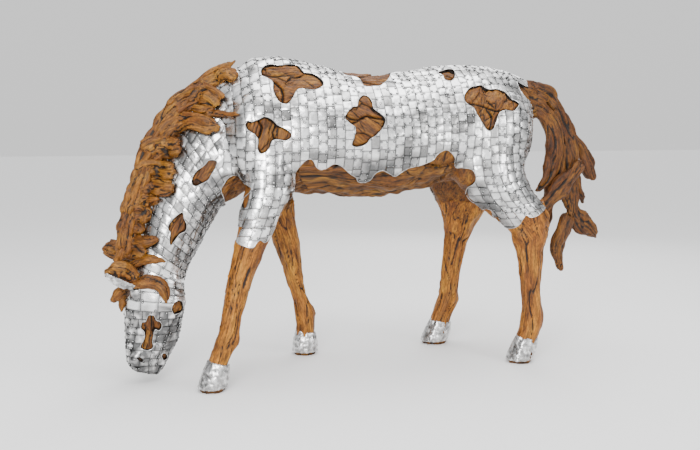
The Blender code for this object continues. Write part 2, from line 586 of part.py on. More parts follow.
def clad(form, collection):
    """The sheet metal: a thin wall just outside the form, open at the windows and below."""
    metal = swollen(form, "metal_skin", METAL_GAP, collection)
    wall = metal.modifiers.new("wall", "SOLIDIFY")
    wall.thickness = METAL_THICKNESS
    wall.offset = 1.0
    settle(metal)
    return combine(metal, metal_cutters(collection), "DIFFERENCE")


def hoof_metal(name, leg, collection):
    """A sleeve of metal round the wooden hoof, which stops above the sole."""
    top_front, top_back, sole_front, sole_back, top_width, sole_width = HOOVES[name]
    side = LEGS[name][0]
    centre = side * LEG_DISTANCE
    wall = HOOF_METAL_THICKNESS / STEP
    rise = SOLE_HEIGHT / STEP
    rings = []
    for share in (0.0, 1.0):
        front = [sole_front[0] + (top_front[0] - sole_front[0]) * share, rise + (top_front[1] - rise) * share]
        back = [sole_back[0] + (top_back[0] - sole_back[0]) * share, rise + (top_back[1] - rise) * share]
        width = sole_width + (top_width - sole_width) * share + wall
        rings.append(oval(front, back, width, 0, centre, HOOF_POINTS))
    sleeve = loft("hoof_" + name, rings, collection)
    core = swollen(leg, "core", JOINT_GAP, collection)
    return combine(sleeve, [core], "DIFFERENCE")


def route_point(points, share):
    """A smooth curve through a route's points, at a share of its way."""
    place = share * (len(points) - 1)
    i = min(int(place), len(points) - 2)
    t = place - i
    before = points[max(i - 1, 0)]
    start, end = points[i], points[i + 1]
    after = points[min(i + 2, len(points) - 1)]
    result = []
    for p0, p1, p2, p3 in zip(before, start, end, after):
        bend = (2 * p0 - 5 * p1 + 4 * p2 - p3) * t + (3 * p1 - p0 - 3 * p2 + p3) * t * t
        result.append(p1 + 0.5 * ((p2 - p0) + bend) * t)
    return result


def slab(name, centres, facings, half_widths, half_thicks, grow, collection):
    """A flat strand of wood along a row of centres, each with the way that its broad side faces."""
    centres = list(centres)
    centres[0] = centres[0] + (centres[0] - centres[1]).normalized() * grow
    centres[-1] = centres[-1] + (centres[-1] - centres[-2]).normalized() * grow
    rings = []
    for i, centre in enumerate(centres):
        along = centres[min(i + 1, len(centres) - 1)] - centres[max(i - 1, 0)]
        across = along.cross(facings[i]).normalized()
        out = across.cross(along).normalized()
        ring = []
        for k in range(LOCK_SIDES):
            turn = 2 * math.pi * k / LOCK_SIDES
            sideways = across * (half_widths[i] + grow) * math.cos(turn)
            ring.append(centre + sideways + out * (half_thicks[i] + grow) * math.sin(turn))
        rings.append(ring)
    return loft(name, rings, collection)


def strand(name, route, facing, grow, collection):
    """A strand whose whole route is given in space."""
    stations = max(LOCK_STATIONS, len(route) + 1)
    rows = [route_point(route, i / (stations - 1)) for i in range(stations)]
    centres = [at(*row[:3]) for row in rows]
    widths = [row[3] * STEP for row in rows]
    thicks = [row[4] * STEP for row in rows]
    return slab(name, centres, [facing] * stations, widths, thicks, grow, collection)


def lay_on(surface, x, z, side, lift):
    """Where the line of sight through a point meets the metal, raised by a lift, and the way out there."""
    eye = at(EYE[0], -EYE[1] * side, EYE[2])
    target = at(x, -MANE_PLANE * side, z)
    hit, normal, _, _ = surface.ray_cast(eye, (target - eye).normalized())
    if hit is not None:
        return hit + normal * lift, normal
    share = (-CREST_Y * STEP * side - eye.y) / (target.y - eye.y)
    place = eye.lerp(target, share)
    nearest = surface.find_nearest(place)[0]
    return place, (place - nearest).normalized()


def mane_lock(name, lock, side, surface, grow, collection):
    """A lock that lies on the neck, broad in its middle and narrower at its tip."""
    route, half_width, half_thick, tip = lock
    stations = LOCK_STATIONS
    lift = half_thick * STEP * LOCK_LIFT + METAL_GAP + METAL_THICKNESS
    centres, facings, widths, thicks = [], [], [], []
    for i in range(stations):
        share = i / (stations - 1)
        x, z = route_point(route, share)
        centre, facing = lay_on(surface, x, z, side, lift)
        centres.append(centre)
        facings.append(facing)
        swell = math.sin(min(share / LOCK_FULL, 1.0) * math.pi / 2)
        taper = LOCK_ROOT_WIDTH + (1 - LOCK_ROOT_WIDTH) * swell
        if share > LOCK_FULL:
            taper = 1 + (tip - 1) * ((share - LOCK_FULL) / (1 - LOCK_FULL)) ** LOCK_TAPER_POWER
        widths.append(half_width * STEP * taper)
        thicks.append(half_thick * STEP * (LOCK_THIN + (1 - LOCK_THIN) * taper))
    return slab(name, centres, evened(facings), widths, thicks, grow, collection)


def evened(facings):
    """The same directions with their turns spread over their neighbours."""
    for _ in range(2):
        last = len(facings) - 1
        facings = [(facings[max(i - 1, 0)] + facings[i] * 2 + facings[min(i + 1, last)]).normalized()
                   for i in range(last + 1)]
    return facings


def build_hair(surface, seat, horse):
    """Mane, forelock, ears and tail: each strand is cut back from the metal and from those before it."""
    makers = []
    for name, lock in MANE.items():
        makers.append((name, lambda n, g, lock=lock: mane_lock(n, lock, -1, surface, g, horse)))
    for name, lock in FAR_MANE.items():
        makers.append((name, lambda n, g, lock=lock: mane_lock(n, lock, 1, surface, g, horse)))
    ears = {"ear_near": (EAR, EAR_FACING), "ear_far": (FAR_EAR, FAR_EAR_FACING)}
    for name, (route, facing) in ears.items():
        makers.append((name, lambda n, g, route=route, facing=facing: strand(n, route, facing, g, horse)))
    makers.append(("ear_lining", lambda n, g: strand(n, EAR_LINING, EAR_LINING_FACING, g, horse)))
    for name, route in TAIL.items():
        makers.append((name, lambda n, g, route=route: strand(n, route, TAIL_FACING, g, horse)))
    done = []
    for name, make in makers:
        piece = make(name, 0.0)
        cutters = [link("seat", seat.data.copy(), horse)]
        for make_earlier, earlier in done:
            if boxes_meet(piece, earlier):
                cutters.append(make_earlier("clearance", HAIR_GAP))
        for cutter in cutters:
            combine(piece, [cutter], "DIFFERENCE")
        keep_largest(piece)
        done.append((make, piece))
    return [piece for _, piece in done]


def corners(obj):
    points = [vert.co for vert in obj.data.vertices]
    low = Vector([min(point[axis] for point in points) for axis in range(3)])
    high = Vector([max(point[axis] for point in points) for axis in range(3)])
    return low, high


def boxes_meet(first, second):
    low_a, high_a = corners(first)
    low_b, high_b = corners(second)
    return all(low_a[axis] < high_b[axis] and low_b[axis] < high_a[axis] for axis in range(3))


def keep_largest(obj):
    """Drops the crumbs that a cut leaves beside the main body of a piece."""
    bm = bmesh.new()
    bm.from_mesh(obj.data)
    bmesh.ops.remove_doubles(bm, verts=bm.verts, dist=0.000001)
    bm.verts.ensure_lookup_table()
    unseen = set(bm.verts)
    islands = []
    while unseen:
        front = [unseen.pop()]
        island = set(front)
        while front:
            vert = front.pop()
            for edge in vert.link_edges:
                other = edge.other_vert(vert)
                if other in unseen:
                    unseen.remove(other)
                    island.add(other)
                    front.append(other)
        islands.append(island)
    islands.sort(key=len)
    for island in islands[:-1]:
        bmesh.ops.delete(bm, geom=list(island), context="VERTS")
    bm.to_mesh(obj.data)
    bm.free()


def main():
    clear_scene()
    horse = bpy.data.collections.new("driftwood_horse")
    bpy.context.scene.collection.children.link(horse)
    wood = make_material(WOOD)
    metal = make_material(METAL)
    gap = JOINT_GAP / STEP

    form = carve_form(horse)
    surface = BVHTree.FromPolygons([vert.co for vert in form.data.vertices],
                                   [face.vertices for face in form.data.polygons])
    seat = swollen(form, "seat", METAL_GAP + METAL_THICKNESS + HAIR_GAP, horse)

    legs = {}
    for name in LEGS:
        leg = link("leg_" + name, form.data.copy(), horse)
        combine(leg, [leg_block(name, 0, horse)], "INTERSECT")
        keep_largest(leg)
        legs[name] = leg
    log = link("belly_log", form.data.copy(), horse)
    combine(log, [log_block(0, horse)], "INTERSECT")
    combine(log, [leg_block(name, gap, horse) for name in LEGS], "DIFFERENCE")
    keep_largest(log)
    body = link("wood_body", form.data.copy(), horse)
    blocks = [leg_block(name, gap, horse) for name in LEGS] + [log_block(gap, horse)]
    combine(body, blocks, "DIFFERENCE")
    keep_largest(body)
    skin = clad(form, horse)
    keep_largest(skin)
    hooves = [hoof_metal(name, leg, horse) for name, leg in legs.items()]
    for hoof in hooves:
        keep_largest(hoof)
    hair = build_hair(surface, seat, horse)
    wooden = [body, log] + list(legs.values()) + hair
    for piece in wooden:
        piece.data.materials.clear()
        piece.data.materials.append(wood)
    for piece in [skin] + hooves:
        piece.data.materials.clear()
        piece.data.materials.append(metal)
    pieces = wooden + [skin] + hooves
    for scrap in (form, seat):
        bpy.data.objects.remove(scrap, do_unlink=True)

    low = Vector([min(corners(piece)[0][axis] for piece in pieces) for axis in range(3)])
    high = Vector([max(corners(piece)[1][axis] for piece in pieces) for axis in range(3)])
    origin = bpy.data.objects.new("horse_origin", None)
    horse.objects.link(origin)
    origin.location = (-(low.x + high.x) / 2, -(low.y + high.y) / 2, 0)
    for piece in pieces:
        piece.parent = origin


main()
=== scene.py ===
# %% [markdown]
# A grazing horse, life size, built up of driftwood and clad in small plates of hammered sheet metal.
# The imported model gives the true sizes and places, and this script gives every piece its surface:
# plates that are laid and nailed one by one, and wood with its grain, its cracks and its torn ends.
# Each step below says what the real thing is and why it is made this way in Blender.

# %% Load the frame and the tools
import json
import math
import random

import bpy
import numpy as np
from mathutils import Euler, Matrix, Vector, noise
from mathutils.bvhtree import BVHTree

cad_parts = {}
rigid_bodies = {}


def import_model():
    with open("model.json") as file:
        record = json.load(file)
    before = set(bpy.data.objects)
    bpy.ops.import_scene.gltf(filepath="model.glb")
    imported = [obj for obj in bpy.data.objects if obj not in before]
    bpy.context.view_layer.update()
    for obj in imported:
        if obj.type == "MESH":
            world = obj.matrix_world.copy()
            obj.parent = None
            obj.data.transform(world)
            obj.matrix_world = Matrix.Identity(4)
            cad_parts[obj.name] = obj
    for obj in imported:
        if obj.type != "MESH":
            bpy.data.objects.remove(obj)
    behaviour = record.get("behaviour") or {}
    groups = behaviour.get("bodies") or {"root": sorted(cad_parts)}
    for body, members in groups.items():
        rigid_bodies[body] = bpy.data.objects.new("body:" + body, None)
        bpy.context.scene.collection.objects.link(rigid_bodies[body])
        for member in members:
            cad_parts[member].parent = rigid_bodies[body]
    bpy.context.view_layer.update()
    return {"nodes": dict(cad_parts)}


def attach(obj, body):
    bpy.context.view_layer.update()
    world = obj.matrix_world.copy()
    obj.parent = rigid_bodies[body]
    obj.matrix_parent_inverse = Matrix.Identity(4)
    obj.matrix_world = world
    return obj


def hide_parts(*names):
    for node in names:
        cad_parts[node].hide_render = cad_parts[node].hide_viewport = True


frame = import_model()
nodes = frame["nodes"]
bpy.ops.object.select_all(action="DESELECT")
print("nodes in the frame:", len(nodes))

# %% [markdown]
# The horse was laid out in steps of one centimetre from the middle of the near fore hoof.
# The frame's origin lies under the middle of the whole horse, so one shift leads from one to the other.

# %% Places in steps
STEP = 0.01
SHIFT = Vector((-0.8351, -0.0007, 0.0))


def spot(x, y, z):
    """A place given in steps, in the frame's metres."""
    return Vector((x, y, z)) * STEP + SHIFT


print("near fore hoof at", [round(value, 3) for value in spot(0, -22.4, 0)])

# %% [markdown]
# A sculpture like this is photographed from a little above its back, a few metres away.
# The camera comes first, because the windows in the metal are drawn as they are seen from there.
# A point of space is turned into a pixel by the same sum that the camera does, and a window is then
# a plain outline of pixels that a maker could have drawn on the metal with a marker.

# %% Camera and sight lines
CAMERA_PLACE = Vector((-1.248, -3.660, 1.151))
CAMERA_PITCH = math.radians(6.998)
CAMERA_TURN = math.radians(-17.035)
LENS = 41.14
SENSOR = 36.0
PICTURE = (700, 450)

bpy.ops.object.camera_add(location=CAMERA_PLACE, rotation=(math.pi / 2 - CAMERA_PITCH, 0, CAMERA_TURN))
camera = bpy.context.object
camera.name = "view_from_the_near_side"
camera.data.lens = LENS
camera.data.sensor_width = SENSOR
bpy.context.scene.camera = camera
to_camera = Euler((math.pi / 2 - CAMERA_PITCH, 0, CAMERA_TURN)).to_matrix().transposed()
FOCAL = LENS / SENSOR * PICTURE[0]


def pixel_of(place, side=-1):
    """The pixel that a point falls on. The far side is seen as in a mirror, from over there."""
    seen = to_camera @ (Vector((place.x, -place.y * side, place.z)) - CAMERA_PLACE)
    return PICTURE[0] / 2 - FOCAL * seen.x / seen.z, PICTURE[1] / 2 + FOCAL * seen.y / seen.z


def sight(x, y, side=-1):
    """The line of sight through a pixel: where it starts and its direction. The far side is mirrored."""
    seen = Vector(((x - PICTURE[0] / 2) / FOCAL, (PICTURE[1] / 2 - y) / FOCAL, -1))
    away = (seen @ to_camera).normalized()
    start = CAMERA_PLACE.copy()
    start.y *= -side
    away.y *= -side
    return start, away


print("withers at pixel", [round(value) for value in pixel_of(spot(32, -5, 147))])

# %% [markdown]
# Every finished piece starts from the solid that the frame holds. The solid itself is never touched:
# a copy is made, its loose triangles are welded, and modifiers are applied to the copy by operators.

# %% Helpers for copies and modifiers
WELD_DISTANCE = 0.00001
SOFTEN = 0.6
SWELL_BACK = -0.63


def start_from(names, title):
    """One new object made of merged copies of CAD nodes."""
    bpy.ops.object.select_all(action="DESELECT")
    for name in names:
        copy = nodes[name].copy()
        copy.data = nodes[name].data.copy()
        copy.parent = None
        for key in list(copy.keys()):
            del copy[key]
        copy.data.materials.clear()
        bpy.context.scene.collection.objects.link(copy)
        copy.select_set(True)
        bpy.context.view_layer.objects.active = copy
    if len(names) > 1:
        bpy.ops.object.join()
    piece = bpy.context.view_layer.objects.active
    piece.name = title
    piece.data.name = title
    bpy.ops.object.mode_set(mode="EDIT")
    bpy.ops.mesh.select_all(action="SELECT")
    bpy.ops.mesh.remove_doubles(threshold=WELD_DISTANCE)
    bpy.ops.object.mode_set(mode="OBJECT")
    return piece


def work(piece, kind, **settings):
    """Adds a modifier, sets it and applies it."""
    bpy.ops.object.select_all(action="DESELECT")
    bpy.context.view_layer.objects.active = piece
    piece.select_set(True)
    modifier = piece.modifiers.new(kind.lower(), kind)
    for name, value in settings.items():
        setattr(modifier, name, value)
    bpy.ops.object.modifier_apply(modifier=modifier.name)


def relax(piece, rounds):
    """Smooths a piece and swells it back each time, so that it keeps its size."""
    for _ in range(rounds):
        work(piece, "SMOOTH", factor=SOFTEN, iterations=2)
        work(piece, "SMOOTH", factor=SWELL_BACK, iterations=2)


def places_of(piece):
    """The vertices and their outward directions, as two arrays."""
    count = len(piece.data.vertices)
    places = np.empty(count * 3)
    normals = np.empty(count * 3)
    piece.data.vertices.foreach_get("co", places)
    piece.data.vertex_normals.foreach_get("vector", normals)
    return places.reshape(-1, 3), normals.reshape(-1, 3)


def write_places(piece, places):
    """Moves the vertices to new places."""
    piece.data.vertices.foreach_set("co", places.ravel())
    piece.data.update()


def keep_values(piece, name, values, kind="FLOAT"):
    """Stores one value for each vertex, which the material reads."""
    attribute = piece.data.attributes.new(name, kind, "POINT")
    key = "value" if kind == "FLOAT" else "vector"
    attribute.data.foreach_set(key, np.asarray(values, np.float32).ravel())


print("smoothing factors:", SOFTEN, SWELL_BACK)

# %% [markdown]
# The metal is nailed on a smooth horse. The wooden nodes together are that horse: they are joined into
# one skin by a voxel remesh and relaxed, and every plate is then laid on it by a ray from outside.

# %% The smooth form under the metal
LEG_NAMES = ["leg_near_fore", "leg_far_fore", "leg_near_hind", "leg_far_hind"]
FORM_VOXEL = 0.009
FORM_ROUNDS = 7
NECK_JOINS = [spot(x, y * side, z) for x, y, z in ((12, 17, 112), (17, 13, 124)) for side in (-1, 1)]
JOIN_REACH = 0.17
JOIN_ROUNDS = 110

form = start_from(["wood_body", "belly_log"] + LEG_NAMES, "form")
work(form, "REMESH", mode="VOXEL", voxel_size=FORM_VOXEL)
relax(form, FORM_ROUNDS)
# The step between the neck and the shoulders melts away.
join_group = form.vertex_groups.new(name="neck_joins")
for vertex in form.data.vertices:
    away = min((vertex.co - join).length for join in NECK_JOINS) / JOIN_REACH
    if away < 1:
        join_group.add([vertex.index], min((1 - away) * 2, 1.0), "REPLACE")
work(form, "SMOOTH", factor=0.5, iterations=JOIN_ROUNDS, vertex_group="neck_joins")
surface = BVHTree.FromPolygons([vertex.co for vertex in form.data.vertices],
                               [face.vertices for face in form.data.polygons])
print("form:", len(form.data.polygons), "faces")

# %% [markdown]
# The metal is left open in windows where the driftwood shows. Their outlines are free hand curves,
# given in pixels of the picture. The far side has plainer ones, which are the same outlines moved.

# %% Windows in the metal
WINDOWS = {
    "withers": [(261, 71), (264, 67), (271, 65), (280, 66), (290, 65), (298, 67), (304, 73), (314, 75),
                (322, 81), (323, 86), (316, 90), (308, 90), (300, 89), (296, 92), (293, 98), (288, 104),
                (282, 104), (277, 100), (273, 91), (273, 83), (268, 79), (262, 76)],
    "shoulder": [(245.5, 125), (248, 121), (252, 122), (258, 120), (264.5, 117), (272, 120), (277, 125),
                 (284, 128), (291, 133), (291, 138), (285, 141), (278, 139.5), (272, 141), (269.5, 148),
                 (265, 153), (260, 153.5), (257.5, 148), (258, 140), (254.5, 134.5), (248, 130.5)],
    "barrel": [(364, 96), (369, 98), (372, 103), (373.5, 109), (379.5, 113.5), (385, 119), (383.5, 126.5),
               (376.5, 135), (370, 139), (366, 144), (357.5, 147), (351.5, 145), (354, 137), (355, 128),
               (349.5, 123.5), (344.5, 118), (347.5, 112), (352, 107.5), (357, 106.5), (358, 101),
               (360.5, 97.5)],
    "saddle": [(341, 60), (395, 60), (391, 74), (388, 80), (381, 86), (373.5, 87), (365, 87), (361, 83),
               (359.5, 80), (353.5, 77.5), (342, 74)],
    "croup": [(438, 73.7), (442.7, 71.5), (448.4, 70), (453.5, 71), (455, 75.3), (453, 80.4), (448, 82),
              (444, 80), (442.7, 76.6)],
    "haunch": [(464, 96), (467, 90.6), (471, 87.4), (476.5, 86.5), (481, 86), (485, 88.7), (490, 90),
               (495.6, 89.7), (502, 91.6), (506.4, 94.4), (511, 99.5), (515, 101), (518.5, 104.6),
               (515.4, 109.7), (511.5, 111.7), (505, 110.4), (499.5, 113), (497, 118.7), (494.3, 127),
               (490.5, 131), (486, 129.5), (481.6, 123), (476, 114), (473, 108), (468, 105.3),
               (464.3, 101.5)],
    "neck": [(217.3, 162), (214.3, 160), (208.7, 160.4), (204, 165.5), (196, 171.6), (192, 179), (192, 184),
             (196, 186.4), (201, 184), (208, 180), (211.2, 174.7), (215.3, 167.6)],
    "throat": [(235.7, 174.7), (239.8, 177.8), (246, 184), (252, 189), (246, 197), (230, 209), (225, 203),
               (223, 197), (221, 189), (225.5, 181), (230.6, 175.7)],
    "nape": [(182.7, 212), (184.2, 218.6), (186.7, 224.7), (185.2, 231), (179.6, 234), (174.5, 241),
             (170.4, 245.6), (169.4, 239), (170.4, 233), (168, 228.8), (169.4, 223.7), (175.5, 216.5)],
    "cheek": [(148.6, 315), (154, 315), (156.4, 319.8), (160.6, 321.6), (161.8, 326), (159.4, 330),
              (155, 329.4), (153.6, 335), (152.6, 341.4), (153.4, 346.6), (149.6, 349.8), (143.4, 349.6),
              (140.6, 346.4), (143.4, 340.6), (145, 336), (144.2, 331), (141.2, 327.8), (142, 322.4),
              (146, 320.8)],
    "tail": [(516.5, 82.5), (521, 84.5), (527, 87.5), (534, 88), (539, 86), (545, 96), (541, 106),
             (531, 103), (524, 97), (519, 90)],
    "jaw": [(179.6, 300.7), (182.3, 302.5), (181.4, 309.6), (176, 313.7), (173.4, 313.2), (171.6, 308),
            (173.4, 303.4), (177, 300.7)],
    "forearm": [(243.5, 191), (248.5, 189.5), (250.5, 194), (249, 201), (246.5, 208), (243, 207)],
    "nostril": [(136.5, 355.6), (140.5, 357.2), (144.6, 361), (144, 362.4), (140, 361.3), (137, 358.4)],
    "chin": [(164.5, 352.5), (166.7, 355.2), (165.4, 358.8), (162.7, 359.6), (161, 356), (161.8, 353.4)],
}
FAR_MOVES = {"withers": (6, 33), "barrel": (86, -6), "saddle": (0, 0), "croup": (-30, 1), "haunch": (-14, 24),
             "cheek": (0, -4), "throat": (0, 0)}
CURVE_POINTS = 4


def bend_through(rows, t):
    """A smooth curve through the second and the third of four rows of numbers, at a share of its way."""
    return tuple(p1 + 0.5 * ((p2 - p0) * t + (2 * p0 - 5 * p1 + 4 * p2 - p3) * t ** 2
                             + (3 * p1 - p0 - 3 * p2 + p3) * t ** 3) for p0, p1, p2, p3 in zip(*rows))


def smooth_outline(points):
    """A closed smooth curve through an outline's points."""
    count = len(points)
    return [bend_through([points[(i + k) % count] for k in (-1, 0, 1, 2)], step / CURVE_POINTS)
            for i in range(count) for step in range(CURVE_POINTS)]


def outline_box(outline):
    """The lowest and the highest pixels of an outline, across and down."""
    return (min(x for x, _ in outline), max(x for x, _ in outline),
            min(y for _, y in outline), max(y for _, y in outline))


openings = {-1: {}, 1: {}}
for name, points in WINDOWS.items():
    outline = smooth_outline(points)
    openings[-1][name] = (outline, outline_box(outline))
    if name in FAR_MOVES:
        move_x, move_y = FAR_MOVES[name]
        outline = [(x + move_x, y + move_y) for x, y in outline]
        openings[1][name] = (outline, outline_box(outline))
print("windows:", len(openings[-1]), "near,", len(openings[1]), "far")

# %% [markdown]
# Below, the metal ends in a free hand edge: over the belly log, round the burl on the flank, down the thigh
# to the hock, and across the forearm. The near edge is drawn in pixels. The far one is given in steps on
# the plane that touches that flank. Between the legs the metal stops at a level, and wood goes on.

# %% Lower edges of the metal, and where the neck begins
NEAR_EDGE = [(215, 232), (235, 240.5), (239, 244), (247, 247), (253, 247.5), (257, 242), (260, 240),
             (265, 242), (272, 232), (277.5, 216.5), (283, 205), (290, 198), (294, 190), (294, 182),
             (295, 172.5), (302, 163.5), (307, 159.3), (312.5, 159.5), (316.5, 167), (322, 169.5),
             (328, 167), (334, 163.5), (341.5, 165.7), (349, 172.5), (355.5, 176.4), (358, 181),
             (364.6, 181.7), (370.7, 178.7), (374.5, 173.3), (382, 170), (388, 172.5), (394.5, 175.5),
             (400, 172.5), (408, 168), (420, 165), (432, 160), (438, 153), (447, 149.5), (454.5, 157),
             (454, 163), (456, 167), (463, 167.6), (470.6, 168.7), (474.4, 172), (476.3, 177.5),
             (474.4, 183), (468, 187.5), (466.4, 195), (470.6, 200.5), (476, 204), (481.3, 208.5),
             (487.4, 208), (492, 210.4), (493, 215), (497.4, 219), (503.5, 225.4), (510.4, 227.7),
             (518, 225.4), (522.6, 219), (525.7, 215), (529.5, 217.3), (536.4, 215.8), (542.5, 211.2),
             (548, 207), (575, 200), (575, 470), (190, 470)]
FAR_EDGE = [(4, 76), (20, 72), (31, 67.5), (37, 63.5), (42, 66.5), (50, 63.5), (52, 74), (46.5, 88),
            (45.3, 101.1), (47.5, 97.1), (52.1, 96.6), (55.3, 98.8), (59.4, 97.4), (64.1, 95.1), (68.8, 92),
            (74.4, 94.5), (78.2, 95.8), (83, 93.6), (90.7, 99.2), (97.6, 99.1), (106.6, 104.4),
            (110.5, 104.2), (113.8, 97), (119.1, 96.7), (124.6, 93.5), (124, 89), (119.4, 84.4), (121, 80),
            (126, 75.5), (131, 69), (136, 71), (141, 68.5), (146, 72), (152, 76.5), (175, 82), (180, -6),
            (4, -6)]
FAR_EDGE_PLANE = -25
INNER_EDGES = [(10, 105, -17.5, 21.5, 79), (104, 180, -17.5, 21.5, 92)]
NECK_ZONE = [(238, 30), (232, 110), (222, 150), (222, 168), (250, 188), (243, 212), (222, 240), (205, 300),
             (205, 470), (0, 470), (0, 30)]


def inside(outline, x, y):
    """Whether a pixel lies within an outline: a level ray crosses it an odd number of times."""
    within = False
    last_x, last_y = outline[-1]
    for next_x, next_y in outline:
        if (next_y > y) != (last_y > y):
            if x < (last_x - next_x) * (y - next_y) / (last_y - next_y) + next_x:
                within = not within
        last_x, last_y = next_x, next_y
    return within


edges = {-1: smooth_outline(NEAR_EDGE),
         1: smooth_outline([pixel_of(spot(x, FAR_EDGE_PLANE, z)) for x, z in FAR_EDGE])}


def window_at(place):
    """The name of the window that a place lies in, if any."""
    side = -1 if place.y < 0 else 1
    x, y = pixel_of(place, side)
    for name, (outline, (low_x, high_x, low_y, high_y)) in openings[side].items():
        if low_x < x < high_x and low_y < y < high_y and inside(outline, x, y):
            return name
    return None


def line_distance(place, line):
    """How many pixels a place lies from a line through pixels."""
    x, y = pixel_of(place, -1 if place.y < 0 else 1)
    nearest = 99.0
    last_x, last_y = line[0]
    for next_x, next_y in line[1:]:
        run_x, run_y = next_x - last_x, next_y - last_y
        length = max(run_x ** 2 + run_y ** 2, 1e-9)
        share = min(max(((x - last_x) * run_x + (y - last_y) * run_y) / length, 0), 1)
        nearest = min(nearest, math.hypot(last_x + run_x * share - x, last_y + run_y * share - y))
        last_x, last_y = next_x, next_y
    return nearest


def below_edge(place):
    """Whether a place lies on the bare wood below the metal."""
    side = -1 if place.y < 0 else 1
    if inside(edges[side], *pixel_of(place, side)):
        return True
    x, y, z = (place - SHIFT) / STEP
    return any(low_x < x < high_x and low_y < y < high_y and z < top
               for low_x, high_x, low_y, high_y, top in INNER_EDGES)


def in_neck(place, margin):
    """Whether a place belongs to the neck, whose zone ends a margin of pixels sooner."""
    x, y = pixel_of(place, -1 if place.y < 0 else 1)
    return inside(NECK_ZONE, x + margin, y)


print("edge points:", len(NEAR_EDGE), "near,", len(FAR_EDGE), "far")

# %% [markdown]
# The plates stand in columns. On the trunk a column runs round the barrel like a hoop, and on the haunch
# and the forearm it leans with the leg. Round the buttock the columns turn to face backwards.
# On the neck and the head the hoops stand square to the neck's own line.
# A place on the metal is a column number and a way round the hoop: nought on the topline,
# one at half height and two at the bottom, negative on the near side.

# %% Columns on the trunk
TRUNK_MIDDLE = 112
TRUNK_LOW = 60
TOP_LIFT = 10
REAR_TURN = 148
FRONT_TURN = 24
TURN_REACH = 20
TURN_SLIDE = 0.55
FRONT_TURN_HEIGHTS = (97, 112)
LEANS = {
    ("fore", -1): [(64.7, -9.0), (73, -5.5), (82, -2.2), (90, -0.3), (96, 0)],
    ("fore", 1): [(60.5, 9.0), (69.5, 6.5), (78.5, 3.3), (88, 0)],
    ("hind", -1): [(67.5, 19.0), (73.5, 14.0), (81.5, 6.0), (90, 1.2), (98, 0)],
    ("hind", 1): [(67, 4.0), (73, 3.5), (80, 1.6), (90.5, 0)],
}


def lean_at(leg, side, z):
    """How far a column has moved along the body at a height, with the leg below it."""
    steps = LEANS[(leg, side)]
    return float(np.interp(z, [height for height, _ in steps], [move for _, move in steps]))


def trunk_ray(column, way):
    """The base and the outward direction of the ray for a place on the trunk."""
    side = -1 if way < 0 else 1
    way = abs(way)
    x, turn, slide = column, 0.0, 0.0
    height = TRUNK_MIDDLE - max(way - 1, 0) * (TRUNK_MIDDLE - TRUNK_LOW)
    if column > REAR_TURN:
        turn = (column - REAR_TURN) / TURN_REACH
        slide = (column - REAR_TURN) * TURN_SLIDE
        x = REAR_TURN
    elif column < FRONT_TURN:
        lowness = float(np.interp(height, FRONT_TURN_HEIGHTS, (1, 0)))
        turn = -(FRONT_TURN - column) / TURN_REACH * lowness
        x = column + (FRONT_TURN - column) * lowness
    outward = Vector((math.sin(turn), side * math.cos(turn), 0))
    if way <= 1:
        angle = way * math.pi / 2
        base = spot(x + slide * math.cos(angle), 0, TRUNK_MIDDLE + TOP_LIFT * math.cos(angle))
        return base, outward * math.sin(angle) + Vector((0, 0, math.cos(angle)))
    leg = "fore" if column < 80 else "hind"
    return spot(x + lean_at(leg, side, height), 0, height), outward


print("columns lean by", LEANS[("hind", -1)][0][1], "steps at the near hock")

# %% Columns on the neck and the head
NECK_LINES = [((20, 142), (35, 88), 17.0), ((13, 139.5), (30, 86), 16.0), ((4, 130.5), (21.5, 86), 13.8),
              ((-4, 119.5), (14.5, 83), 11.8), ((-11, 107), (8.5, 78.5), 10.4),
              ((-16.5, 95), (3.2, 70.5), 9.7), ((-21, 83), (-1.3, 61.8), 9.2),
              ((-25, 71), (-5.8, 53.8), 9.0), ((-28.5, 60), (-8.8, 46.5), 9.0), ((-32, 50), (-9, 42), 9.6),
              ((-34.6, 40), (-8.8, 37), 9.9), ((-34.9, 30), (-9.6, 29.5), 8.8),
              ((-34.7, 22), (-11, 21.8), 7.1), ((-34.6, 15), (-14.2, 13.8), 6.4),
              ((-34.5, 11), (-17, 9.4), 6.4)]
MUZZLE_REACH = 6.0
neck_marks = [0.0]
for (top, low, _), (next_top, next_low, _) in zip(NECK_LINES, NECK_LINES[1:]):
    middle = (Vector(top) + Vector(low)) / 2
    next_middle = (Vector(next_top) + Vector(next_low)) / 2
    neck_marks.append(neck_marks[-1] + (next_middle - middle).length)
NECK_END = neck_marks[-1]


def neck_ray(column, way):
    """The base and the outward direction of the ray for a place on the neck or the head."""
    side = -1 if way < 0 else 1
    angle = abs(way) * math.pi / 2
    along = min(column, NECK_END)
    top_x, top_z, low_x, low_z, width = (
        float(np.interp(along, neck_marks, [values[i][k] if i < 2 else values[2] for values in NECK_LINES]))
        for i, k in ((0, 0), (0, 1), (1, 0), (1, 1), (2, 0)))
    up = Vector((top_x - low_x, 0, top_z - low_z))
    half = up.length / 2
    up.normalize()
    rise = math.cos(angle) * max(half - width, 0)
    base = spot((top_x + low_x) / 2 + up.x * rise, 0, (top_z + low_z) / 2 + up.z * rise)
    outward = up * math.cos(angle) + Vector((0, side * math.sin(angle), 0))
    if column > NECK_END:
        turn = (column - NECK_END) / MUZZLE_REACH
        onward = Vector((-up.z, 0, up.x))
        outward = outward * math.cos(turn) + onward * math.sin(turn)
    return base, outward


print("neck and head are", round(NECK_END), "steps long")

# %% Finding a place on the form
REACH = {"trunk": 0.45, "neck": 0.24}
NECK_OVERLAP = 3
RAYS = {"trunk": trunk_ray, "neck": neck_ray}


def lay(region, column, way):
    """The point of the form at a column and a way round it, and the direction out of the form."""
    base, outward = RAYS[region](column, way)
    reach = REACH[region]
    hit, normal, _, _ = surface.ray_cast(base + outward * reach, -outward, reach)
    return hit, normal


